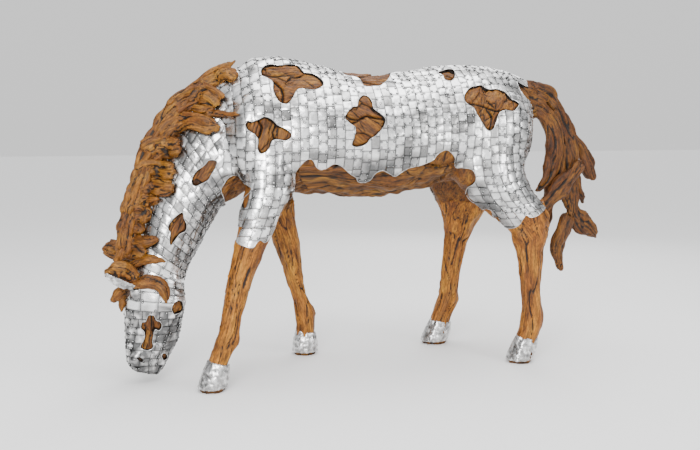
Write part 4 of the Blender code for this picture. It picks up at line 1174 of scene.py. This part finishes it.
# %% Stations along a lock
LOCK_VOXEL = 0.0056
LOCK_LIFT = 0.008
STRAND_OVERLAP = 1.6
LOCK_THICKNESS = 0.010
LOCK_ROUNDNESS = 0.22
LOCK_ROUNDS = 3
# How far swellings, cracks and fibres move the skin of a lock.
LOCK_CARVING = (0.0060, 0.0060, 0.0018)
LOCK_SHADOW = 0.85
WANDERS = {"mane": 0.30, "tail": 0.5, "ears": 0.1}


def along_route(points, share):
    """A smooth curve through a route's points, at a share of its way."""
    place = share * (len(points) - 1)
    i = min(int(place), len(points) - 2)
    rows = [points[min(max(i + k, 0), len(points) - 1)] for k in (-1, 0, 1, 2)]
    return bend_through(rows, place - i)


def on_neck(x, y, side):
    """Where a line of sight meets the form, or where it passes the crest, and the way out there."""
    start, away = sight(x, y, side)
    hit, normal, _, _ = surface.ray_cast(start, away)
    if hit is not None:
        return hit, normal
    return start + away * ((side * CREST_OUT - start.y) / away.y), Vector((0, side, 0))


def mane_stations(route, half_width, tip, side):
    """Places, ways out, half widths and half thicknesses along a lock that lies on the neck."""
    rows = []
    for i in range(STATIONS):
        share = i / (STATIONS - 1)
        place, out = on_neck(*along_route(route, share), side)
        taper = min(0.75 + share, 1.0) if share < 0.5 else 1 + (tip - 1) * ((share - 0.5) * 2) ** 1.5
        thick = (LOCK_THICKNESS + half_width * PIXEL * LOCK_ROUNDNESS) * (0.6 + 0.4 * taper)
        lift = LOCK_LIFT + thick * 0.5 if out.x or out.z else 0.0
        rows.append([place + out * lift, out, half_width * PIXEL * taper, thick])
    for _ in range(LOCK_ROUNDS):
        last = len(rows) - 1
        places = [rows[max(i - 1, 0)][0] * 0.25 + rows[i][0] * 0.5 + rows[min(i + 1, last)][0] * 0.25
                  for i in range(last + 1)]
        outs = [(rows[max(i - 1, 0)][1] + rows[i][1] * 2 + rows[min(i + 1, last)][1]).normalized()
                for i in range(last + 1)]
        for i in range(1, last):
            rows[i][0] = places[i]
        for row, out in zip(rows, outs):
            row[1] = out
    return rows


def free_stations(route, facing):
    """The same for a strand whose route is given in space."""
    rows = []
    for i in range(STATIONS):
        x, y, z, half_width, half_thick = along_route(route, i / (STATIONS - 1))
        rows.append([spot(x, y, z), facing, half_width * STEP, half_thick * STEP])
    return rows


print("stations along a lock:", STATIONS)

# %% Growing one sheaf


def grow_sheaf(name, rows, strands, wander):
    """One piece of wood grown from strands that run side by side along the stations."""
    chance = random.Random(name)
    frames = []
    for i, (place, out, half_width, thick) in enumerate(rows):
        run = rows[min(i + 1, len(rows) - 1)][0] - rows[max(i - 1, 0)][0]
        across = run.cross(out).normalized()
        frames.append((place, across, across.cross(run).normalized(), half_width, thick))
    tubes = []
    for k in range(strands):
        lane = (2 * k + 1) / strands - 1
        start = chance.uniform(0.0, 0.10)
        end = chance.uniform(0.84, 1.0) if abs(lane) > 0.3 else 1.0
        high = chance.uniform(-0.2, 0.45) + 0.35 * (1 - lane * lane)
        phase = chance.uniform(0, 50)
        tube = []
        for i in range(STATIONS * 2):
            share = start + (end - start) * i / (STATIONS * 2 - 1)
            at_station = share * (STATIONS - 1)
            j = min(int(at_station), STATIONS - 2)
            t = at_station - j
            pairs = zip(frames[j], frames[j + 1])
            place, across, out, half_width, thick = (a * (1 - t) + b * t for a, b in pairs)
            sway = noise.noise((share * 3.2, phase, 0)) * wander
            lift = noise.noise((share * 4.0, phase, 9)) * 0.5
            knob = 1 + 0.5 * noise.noise((share * 8, phase, 20))
            ends = min(1.0, (share - start) * 16 + 0.45, (end - share) * 14 + 0.4)
            radius = max(half_width / strands * STRAND_OVERLAP, thick * 0.6) * knob * ends
            room = max(half_width - radius * 0.8, 0)
            centre = place + across * (lane * room + sway * half_width) + out * thick * (high + lift)
            tube.append((centre, radius))
        tubes.append(tube)
    piece = wire(name + "_wood", tubes, 1.0)
    work(piece, "REMESH", mode="VOXEL", voxel_size=LOCK_VOXEL)
    relax(piece, 1)
    places, _ = places_of(piece)
    line = np.array([frame[0] for frame in frames])
    grain = grain_along(places, line, [np.array(frame[1]) for frame in frames])
    seed = chance.uniform(0, 50)
    depth = carve(piece, grain, seed, *LOCK_CARVING, shadow=LOCK_SHADOW)
    finish_wood(piece, grain, depth, seed)
    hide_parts(name)


print("a lock is carved", LOCK_CARVING[0] * 1000, "mm deep")

# %% All the locks, the strands of the tail and the ears
for side, locks in ((-1, MANE), (1, FAR_MANE)):
    for name, (route, half_width, strands, tip) in locks.items():
        grow_sheaf(name, mane_stations(route, half_width, tip, side), strands, WANDERS["mane"])
for name, (route, strands) in TAIL.items():
    grow_sheaf(name, free_stations(route, FACINGS["tail"]), strands, WANDERS["tail"])
for name, (route, strands) in EARS.items():
    grow_sheaf(name, free_stations(route, FACINGS[name]), strands, WANDERS["ears"])
print("wood so far:", sum(len(piece.data.polygons) * 2 for piece in wood_pieces), "triangles")

# %% [markdown]
# In the windows the body itself shows: short chunks of driftwood fitted like a puzzle, dark in their joints
# and worn round. A cell pattern stretched along the grain gives the chunks, each window with a direction of
# its own, and the wood sinks towards the rim of the window, where it is painted black as the shade under the
# metal's edge. Only there is the body's skin made fine, since metal covers the rest. The skin is laid on the
# smooth form. The nostril is painted dark as the shade inside it, and the skin under the metal, seen in the
# gaps between plates, is painted dark as shade too.

# %% The body under the metal
WINDOW_GRAIN = {"withers": -6, "shoulder": 70, "barrel": -35, "saddle": -4, "croup": -10, "haunch": 62,
                "neck": 48, "throat": 55, "nape": 72, "cheek": 86, "jaw": 65, "chin": 75, "tail": -35,
                "forearm": 80, "nostril": 0}
CHUNK_SCALE = (5, 12, 8)
CHUNK_RISE = 0.0045
JOINT_DEPTH = 0.0080
JOINT_WIDTH = 0.15
JOINT_SHARE = 0.35
CREVICES = {
    "withers": [[(262, 75), (270, 76.5), (282, 75), (300, 75.5)],
                [(274, 82), (281, 88), (283, 96), (282, 103)]],
    "shoulder": [[(258, 120), (262, 128), (259, 137)], [(276, 126), (273, 133), (275, 140)]],
    "barrel": [[(341, 112), (350, 119), (358, 120), (367, 116), (376, 118), (386, 119)],
               [(345, 118), (351, 124), (358, 121)]],
    "haunch": [[(463, 104), (474, 104), (484, 106), (496, 111), (511, 111.5)],
               [(487, 107), (492, 117), (490, 131)]],
    "croup": [[(437, 79.5), (446, 78.5), (455, 79.5)]],
    "saddle": [[(350, 76), (366, 78), (388, 80)]],
}
CREVICE_PIXELS = 1.4
CREVICE_JOINT = 1.5
GRAIN_BEND = 0.012
RIM_DEPTH = 0.0075
RIM_LEAST = 0.25
# Painted shade: the wood darkens towards a window's rim, under the metal's edge, and the nostril is dark
# inside.
RIM_DARK = 1.2
JOINT_DARK = 0.42
NOSTRIL_DARK = 1.0
# How far the skin may lie from the smooth form and still be laid on it, in a window and elsewhere.
SKIN_REACHES = {True: 0.030, False: 0.010}
BODY_VOXEL = 0.0128
RIM_PIXELS = 2.6
# Painted shade on the skin under the metal, seen in the gaps between plates.
COVERED_DARK = 1.2
BARE_FINENESS = 0.45
# How far swellings, cracks and fibres move the skin of the body.
BODY_CARVING = (0.009, 0.006, 0.0016)
BODY_GRAIN = 75
BODY_SEED = 3.3
BODY_ROOM = 0.006
print("windows with drawn crevices:", len(CREVICES))

# %% A skin that is fine only where it shows


def subdivide_where(piece, is_chosen):
    """Cuts the chosen faces of a piece into four."""
    bpy.ops.object.mode_set(mode="EDIT")
    bpy.ops.mesh.select_all(action="DESELECT")
    bpy.ops.object.mode_set(mode="OBJECT")
    for face in piece.data.polygons:
        face.select = is_chosen(face.center)
    bpy.ops.object.mode_set(mode="EDIT")
    bpy.ops.mesh.subdivide(number_cuts=1)
    bpy.ops.object.mode_set(mode="OBJECT")


body = start_from(["wood_body"], "wood_body_wood")
work(body, "REMESH", mode="VOXEL", voxel_size=BODY_VOXEL)
work(body, "SMOOTH", factor=0.5, iterations=4)
subdivide_where(body, lambda centre: window_at(centre) is not None or below_edge(centre))
subdivide_where(body, lambda centre: window_at(centre) is not None)
print("body:", len(body.data.polygons), "faces")

# %% Chunks, joints and rims
places, _ = places_of(body)
grain = places.copy()
covered = np.zeros(len(places))
room = np.full(len(places), BODY_ROOM)
move = np.zeros(len(places))
dark = np.zeros(len(places))
fine = np.ones(len(places))
for i, place in enumerate(places):
    place = Vector(place)
    side = -1 if place.y < 0 else 1
    name = window_at(place)
    near, _, _, distance = surface.find_nearest(place)
    if distance < SKIN_REACHES[name is not None]:
        place = near
        places[i] = near
    angle = math.radians(WINDOW_GRAIN.get(name, BODY_GRAIN))
    along = place.x * math.cos(angle) + place.z * math.sin(angle)
    across = place.z * math.cos(angle) - place.x * math.sin(angle)
    if name:
        bent = across + GRAIN_BEND * noise.noise(place * 14)
        distances, points = noise.voronoi(Vector((along * CHUNK_SCALE[0], bent * CHUNK_SCALE[1],
                                                  place.y * CHUNK_SCALE[2])))
        joint = JOINT_SHARE * max(0.0, 1 - (distances[1] - distances[0]) / JOINT_WIDTH)
        outline = openings[side][name][0]
        rim_width = RIM_PIXELS * max(0.7 + 1.1 * noise.noise(place * 30), RIM_LEAST)
        rim = max(0.0, 1 - line_distance(place, outline + outline[:1]) / rim_width)
        for line in CREVICES.get(name, []) if place.y < 0 else []:
            joint = max(joint, CREVICE_JOINT - line_distance(place, line) / CREVICE_PIXELS)
        lifted = noise.cell(points[0] * 9.7)
        move[i] = CHUNK_RISE * lifted - JOINT_DEPTH * joint ** 1.5 - RIM_DEPTH * rim
        # Joints keep their own dark. The rim and the nostril get painted shade.
        dark[i] = JOINT_DARK * joint + RIM_DARK * rim ** 1.3 + (NOSTRIL_DARK if name == "nostril" else 0.0)
        along += lifted * 3
    elif not below_edge(place):
        # The covered skin gets painted shade.
        covered[i] = COVERED_DARK
        room[i] = COVERED_ROOM
    else:
        fine[i] = BARE_FINENESS
    grain[i] = (along, across, place.y)
write_places(body, places)
depth = carve(body, grain, BODY_SEED, *BODY_CARVING, move, dark, room, fine=fine)
finish_wood(body, grain, np.maximum(depth, covered), 0.0)
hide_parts("wood_body")
print("darkest point of the body:", round(float(depth.max()), 2))

# %% [markdown]
# Each hoof is clad in one hammered sheet, and the near ear is lined with a thin plate.
# Their nodes have the right size, so their copies only need an even skin and the marks of the hammer,
# with painted shade in the dents and painted light on the bumps.

# %% Hooves and the ear's lining
HOOF_TOP_DRAW = 0.20
HOOF_BULGE = 0.05
HOOF_TOP_BACK = 0.004
HOOF_VOXEL = 0.005
# Marks of the hammer are the voxel, the rounds of relaxing, the depth of the dents and how close they lie.
HOOF_MARKS = (0.0042, 2, 0.0022, 60)
LINING_MARKS = (0.0022, 2, 0.0008, 60)
metal_pieces = list(plate_pieces)


def hammer(piece, voxel, rounds, dent, mark_scale):
    """Gives a metal copy an even skin and hammer marks, with painted shade in the dents and painted light on
    the bumps.
    """
    work(piece, "REMESH", mode="VOXEL", voxel_size=voxel)
    relax(piece, rounds)
    places, normals = places_of(piece)
    scaled = [Vector(place) * mark_scale for place in places]
    move = np.array([noise.noise(place) + 0.5 * noise.noise(place * 2.3) for place in scaled])
    write_places(piece, places + normals * (move * dent)[:, None])
    # Painted light and shade: the bumps are lighter and the dents darker.
    keep_values(piece, "shade", 0.5 + 0.5 * move)
    keep_values(piece, "rim", np.maximum(0, -move) * 0.6)


def shape_hoof(piece):
    """Draws the top of a hoof in round the pastern, sets it a little back and rounds its wall."""
    places, _ = places_of(piece)
    low, high = places.min(0), places.max(0)
    share = (places[:, 2] - low[2]) / (high[2] - low[2])
    middle = (low + high) / 2
    shrink = 1 - HOOF_TOP_DRAW * share ** 1.6 + HOOF_BULGE * np.sin(share * math.pi)
    places[:, 0] = middle[0] + HOOF_TOP_BACK * share + (places[:, 0] - middle[0]) * shrink
    places[:, 1] = middle[1] + (places[:, 1] - middle[1]) * shrink
    write_places(piece, places)


for name in ("hoof_near_fore", "hoof_far_fore", "hoof_near_hind", "hoof_far_hind"):
    hoof = start_from([name], name + "_sheet")
    work(hoof, "REMESH", mode="VOXEL", voxel_size=HOOF_VOXEL)
    shape_hoof(hoof)
    hammer(hoof, *HOOF_MARKS)
    stand_on_ground(hoof)
    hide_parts(name)
    metal_pieces.append(hoof)
lining = start_from(["ear_lining"], "ear_lining_sheet")
hammer(lining, *LINING_MARKS)
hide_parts("ear_lining")
metal_pieces.extend([lining, lips] + nail_pieces)
print("metal pieces:", len(metal_pieces))

# %% [markdown]
# The wood's colour: the grain coordinates are stretched, so that noise becomes long streaks. Broad streaks
# mix honey with red-brown, fine ones add fibres, and the stored depth darkens cracks and hollows, with the
# cracks' and joints' own dark and with painted shade in cracks, hollows, window rims and under the metal.
# The group is built once, and each kind of wood places it with values of its own.

# %% Helpers for shader nodes


def add(tree, kind, place, values=None, **settings):
    """A shader node. Each of its inputs that is named is linked to a socket or set to a value."""
    node = tree.nodes.new(kind)
    node.location = place
    for name, value in settings.items():
        setattr(node, name, value)
    for name, value in (values or {}).items():
        if isinstance(value, bpy.types.NodeSocket):
            tree.links.new(value, node.inputs[name])
        else:
            node.inputs[name].default_value = value
    return node


def ramp(tree, factor, stops, place):
    """The colour that a factor picks from a row of stops."""
    node = add(tree, "ShaderNodeValToRGB", place, {"Fac": factor})
    while len(node.color_ramp.elements) < len(stops):
        node.color_ramp.elements.new(0.5)
    for element, (position, colour) in zip(node.color_ramp.elements, stops):
        element.position = position
        element.color = (*colour, 1)
    return node.outputs["Color"]


def rescale(tree, value, place, old=(0, 1), new=(0, 1)):
    """A value moved from one range to another and kept inside it."""
    ranges = {"From Min": old[0], "From Max": old[1], "To Min": new[0], "To Max": new[1]}
    return add(tree, "ShaderNodeMapRange", place, {"Value": value, **ranges}).outputs["Result"]


def mix(tree, first, second, place, factor=1.0, blend="MULTIPLY"):
    """Two colours mixed, each of them a socket or a value."""
    return add(tree, "ShaderNodeMix", place, {"Factor": factor, "A": first, "B": second},
               data_type="RGBA", blend_type=blend).outputs["Result"]


def greys(*stops):
    """Stops of plain grey for a ramp."""
    return [(position, (grey, grey, grey)) for position, grey in stops]


print("a ramp has stops such as", greys((0.5, 0.8)))

# %% Wood grain group
CRACK_AND_SHADE_COLOUR = (0.016, 0.007, 0.003, 1)
HONEY = [(0.30, (0.20, 0.075, 0.012)), (0.48, (0.42, 0.175, 0.028)), (0.68, (0.60, 0.30, 0.062))]
RED_BROWN = [(0.30, (0.11, 0.033, 0.008)), (0.50, (0.27, 0.088, 0.017)), (0.70, (0.42, 0.17, 0.038))]

grain_group = bpy.data.node_groups.new("driftwood grain", "ShaderNodeTree")
for name, kind, way in (("Grain", "Vector", "INPUT"), ("Depth", "Float", "INPUT"),
                        ("Redness", "Float", "INPUT"), ("Colour", "Color", "OUTPUT"),
                        ("Roughness", "Float", "OUTPUT"), ("Height", "Float", "OUTPUT")):
    grain_group.interface.new_socket(name, in_out=way, socket_type="NodeSocket" + kind)
given = add(grain_group, "NodeGroupInput", (-1200, 0)).outputs


def streaks(scale, detail, place):
    """Noise on stretched grain coordinates."""
    stretch = add(grain_group, "ShaderNodeMapping", (place[0] - 200, place[1]),
                  {"Vector": given["Grain"], "Scale": scale})
    cloud = add(grain_group, "ShaderNodeTexNoise", place,
                {"Vector": stretch.outputs["Vector"], "Scale": 1.0, "Detail": detail, "Roughness": 0.6,
                 "Distortion": 0.4})
    return cloud.outputs["Fac"]


broad = streaks((6, 26, 26), 3, (-700, 300))
thin = streaks((14, 150, 150), 4, (-700, 0))
speck = streaks((55, 210, 210), 3, (-700, -600))
patch = streaks((5, 9, 9), 2, (-700, -300))
honey = ramp(grain_group, broad, HONEY, (-350, 300))
red_brown = ramp(grain_group, broad, RED_BROWN, (-350, 60))
redder = add(grain_group, "ShaderNodeMath", (-550, -500), {0: given["Redness"], 1: 1.0, 2: -1.2},
             operation="MULTIPLY_ADD")
lean_red = add(grain_group, "ShaderNodeMath", (-350, -200), {0: patch, 1: 2.4, 2: redder.outputs[0]},
               operation="MULTIPLY_ADD", use_clamp=True)
plain = mix(grain_group, honey, red_brown, (-50, 200), lean_red.outputs[0], "MIX")
fibres = rescale(grain_group, thin, (-350, -400), (0.36, 0.62), (0.38, 1.18))
specks = rescale(grain_group, speck, (-350, -700), (0.35, 0.60), (0.55, 1.15))
texture = add(grain_group, "ShaderNodeMath", (-100, -500), {0: fibres, 1: specks},
              operation="MULTIPLY").outputs[0]
fibrous = mix(grain_group, plain, texture, (150, 200))
# The depth mixes in the dark colour: the wood's own dark, and painted shade in cracks, hollows, window rims
# and under the metal.
darkness = rescale(grain_group, given["Depth"], (150, -100), (0.12, 0.95))
cracked_and_shaded = mix(grain_group, fibrous, CRACK_AND_SHADE_COLOUR, (400, 200), darkness, "MIX")
rough = rescale(grain_group, thin, (400, -200), new=(0.38, 0.72))
add(grain_group, "NodeGroupOutput", (900, 0), {"Colour": cracked_and_shaded, "Roughness": rough, "Height": texture})
print("wood group nodes:", len(grain_group.nodes))

# %% Wood materials
WOODS = {
    "wood": ("body driftwood", "body_driftwood", 0.42, (0.46, 0.40, 0.17)),
    "leg": ("leg driftwood", "body_driftwood", 0.35, (0.84, 0.74, 0.34)),
    "belly": ("belly driftwood", "body_driftwood", 0.55, (0.42, 0.38, 0.19)),
    "mane": ("mane driftwood", "mane_driftwood", 0.50, (0.56, 0.515, 0.25)),
    "tail": ("tail driftwood", "tail_driftwood", 0.45, (0.33, 0.27, 0.115)),
}


def bumped(tree, height, strength, place):
    """A direction of the surface that small heights bend."""
    node = add(tree, "ShaderNodeBump", place, {"Strength": strength, "Distance": 0.002, "Height": height})
    return node.outputs["Normal"]


def make_wood(title, redness, tint):
    """One kind of driftwood: the grain group, tinted and bumped."""
    material = bpy.data.materials.new(title)
    material.use_nodes = True
    tree = material.node_tree
    grain_read = add(tree, "ShaderNodeAttribute", (-800, 100), attribute_name="grain")
    depth_read = add(tree, "ShaderNodeAttribute", (-800, -150), attribute_name="depth")
    wood = add(tree, "ShaderNodeGroup", (-500, 100),
               {"Grain": grain_read.outputs["Vector"], "Depth": depth_read.outputs["Fac"],
                "Redness": redness},
               node_tree=grain_group).outputs
    shader = tree.nodes["Principled BSDF"]
    shader.inputs["Specular IOR Level"].default_value = 0.3
    tree.links.new(mix(tree, wood["Colour"], (*tint, 1), (-200, 100)), shader.inputs["Base Color"])
    tree.links.new(wood["Roughness"], shader.inputs["Roughness"])
    tree.links.new(bumped(tree, wood["Height"], 0.5, (-200, -200)), shader.inputs["Normal"])
    return material


woods = {key: make_wood(title, redness, tint) for key, (title, _, redness, tint) in WOODS.items()}
for piece in wood_pieces:
    key = piece.name.split("_")[0]
    if key not in WOODS:
        key = "mane"
    piece.data.materials.clear()
    piece.data.materials.append(woods[key])
    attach(piece, "root")
    piece.data.shade_smooth()
print("wooden pieces:", len(wood_pieces))

# %% [markdown]
# The metal is bright sheet, hammered cold. Its colour is nearly white, greyer from plate to plate,
# and painted shade darkens the plates' edges, walls and undersides, the nails' feet, the punched rings and
# the hammer dents. The reflections do the rest, so the surface is kept uneven.

# %% Sheet metal
SHEET_TONES = [(0.0, (0.15, 0.15, 0.15)), (0.45, (0.42, 0.415, 0.41)), (0.8, (0.86, 0.86, 0.86)),
               (1.0, (0.95, 0.95, 0.95))]
PAINTED_SHADE_COLOUR = (0.06, 0.06, 0.06, 1)
SHARP_ANGLE = math.radians(40)

sheet = bpy.data.materials.new("hammered sheet metal")
sheet.use_nodes = True
tree = sheet.node_tree
shader = tree.nodes["Principled BSDF"]
shade_read = add(tree, "ShaderNodeAttribute", (-900, 200), attribute_name="shade")
rim_read = add(tree, "ShaderNodeAttribute", (-900, 0), attribute_name="rim")
coordinates = add(tree, "ShaderNodeTexCoord", (-1100, -250))
dents = add(tree, "ShaderNodeTexNoise", (-900, -250),
            {"Vector": coordinates.outputs["Object"], "Scale": 70, "Detail": 3}).outputs["Fac"]
tone = ramp(tree, shade_read.outputs["Fac"], SHEET_TONES, (-650, 200))
painted_shade = rescale(tree, rim_read.outputs["Fac"], (-650, -50), (0.25, 1.3))
shader.inputs["Metallic"].default_value = 1.0
# The rim values mix in painted shade: plate edges, walls and undersides, nail feet, punched rings and hammer
# dents.
tree.links.new(mix(tree, tone, PAINTED_SHADE_COLOUR, (-350, 150), painted_shade, "MIX"), shader.inputs["Base Color"])
tree.links.new(rescale(tree, dents, (-350, -150), new=(0.14, 0.40)), shader.inputs["Roughness"])
tree.links.new(bumped(tree, dents, 0.35, (-350, -350)), shader.inputs["Normal"])
for piece in metal_pieces:
    piece.data.materials.clear()
    piece.data.materials.append(sheet)
    piece.data.shade_smooth()
    bpy.ops.object.select_all(action="DESELECT")
    piece.select_set(True)
    bpy.context.view_layer.objects.active = piece
    bpy.ops.object.shade_smooth_by_angle(angle=SHARP_ANGLE)
    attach(piece, "root")
for piece in plate_pieces:
    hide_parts("metal_skin")
bpy.data.objects.remove(form)
print("metal pieces:", len(metal_pieces))

# %% [markdown]
# The floor is plain and pale, and the light is soft and comes from all sides, a little stronger from above.
# The room has bright and dark bands from front to back and from floor to ceiling, which the sheet mirrors.

# %% Floor
FLOOR_SIZE = 60
FLOOR_COLOUR = (0.86, 0.86, 0.86, 1)
bpy.ops.object.select_all(action="DESELECT")
bpy.ops.mesh.primitive_plane_add(size=FLOOR_SIZE, location=(0, 0, 0))
floor = bpy.context.object
floor.name = "floor"
pale_floor = bpy.data.materials.new("pale floor")
pale_floor.use_nodes = True
pale_floor.node_tree.nodes["Principled BSDF"].inputs["Base Color"].default_value = FLOOR_COLOUR
pale_floor.node_tree.nodes["Principled BSDF"].inputs["Roughness"].default_value = 0.9
floor.data.materials.append(pale_floor)
print("floor:", FLOOR_SIZE, "metres")

# %% Room
FRONT_TO_BACK = [(0.0, (2.2, 2.2, 2.2)), (0.12, (0.40, 0.405, 0.41)), (0.22, (1.6, 1.6, 1.6)),
                 (0.38, (0.25, 0.255, 0.26)), (0.75, (1.0, 1.0, 1.0))]
FLOOR_TO_CEILING = greys((0.0, 0.96), (0.17, 0.98), (0.26, 0.45), (0.38, 1.7), (0.52, 0.55), (0.72, 2.1))
world = bpy.data.worlds.new("soft room")
world.use_nodes = True
tree = world.node_tree
where = add(tree, "ShaderNodeTexCoord", (-900, 0)).outputs["Generated"]
parts = add(tree, "ShaderNodeSeparateXYZ", (-700, 0), {"Vector": where}).outputs
front_tone = ramp(tree, rescale(tree, parts["Y"], (-500, 100), (-1, 1)), FRONT_TO_BACK, (-300, 200))
height_tone = ramp(tree, parts["Z"], FLOOR_TO_CEILING, (-300, -100))
tree.links.new(mix(tree, front_tone, height_tone, (0, 50)), tree.nodes["Background"].inputs["Color"])
tree.nodes["Background"].inputs["Strength"].default_value = 1.0
bpy.context.scene.world = world
print("bands of the room:", len(FRONT_TO_BACK), "across and", len(FLOOR_TO_CEILING), "up")

# %% Lights
# Each light has a name, a place, the place that it looks at, a size and a power.
LIGHTS = [("key", (-2.4, -4.4, 2.4), (0, 0, 0.9), 2.2, 230),
          ("side", (3.2, -3.8, 2.0), (0.2, 0, 0.9), 1.6, 60),
          ("top", (0.2, -0.2, 4.2), (0, 0, 0.9), 3.0, 130),
          ("back", (2.2, 3.4, 2.6), (0, 0, 0.8), 2.6, 60)]
for name, place, aim, size, power in LIGHTS:
    bpy.ops.object.light_add(type="AREA", location=place)
    light = bpy.context.object
    light.name = name
    light.data.size = size
    light.data.energy = power
    light.rotation_euler = (Vector(aim) - Vector(place)).to_track_quat("-Z", "Y").to_euler()
print("lights:", len(LIGHTS))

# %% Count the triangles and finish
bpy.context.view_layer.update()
counts = {piece.name: sum(len(face.vertices) - 2 for face in piece.data.polygons)
          for piece in metal_pieces + wood_pieces}
print("triangles:", sum(counts.values()), "in all,", max(counts.values()), "in the largest piece")
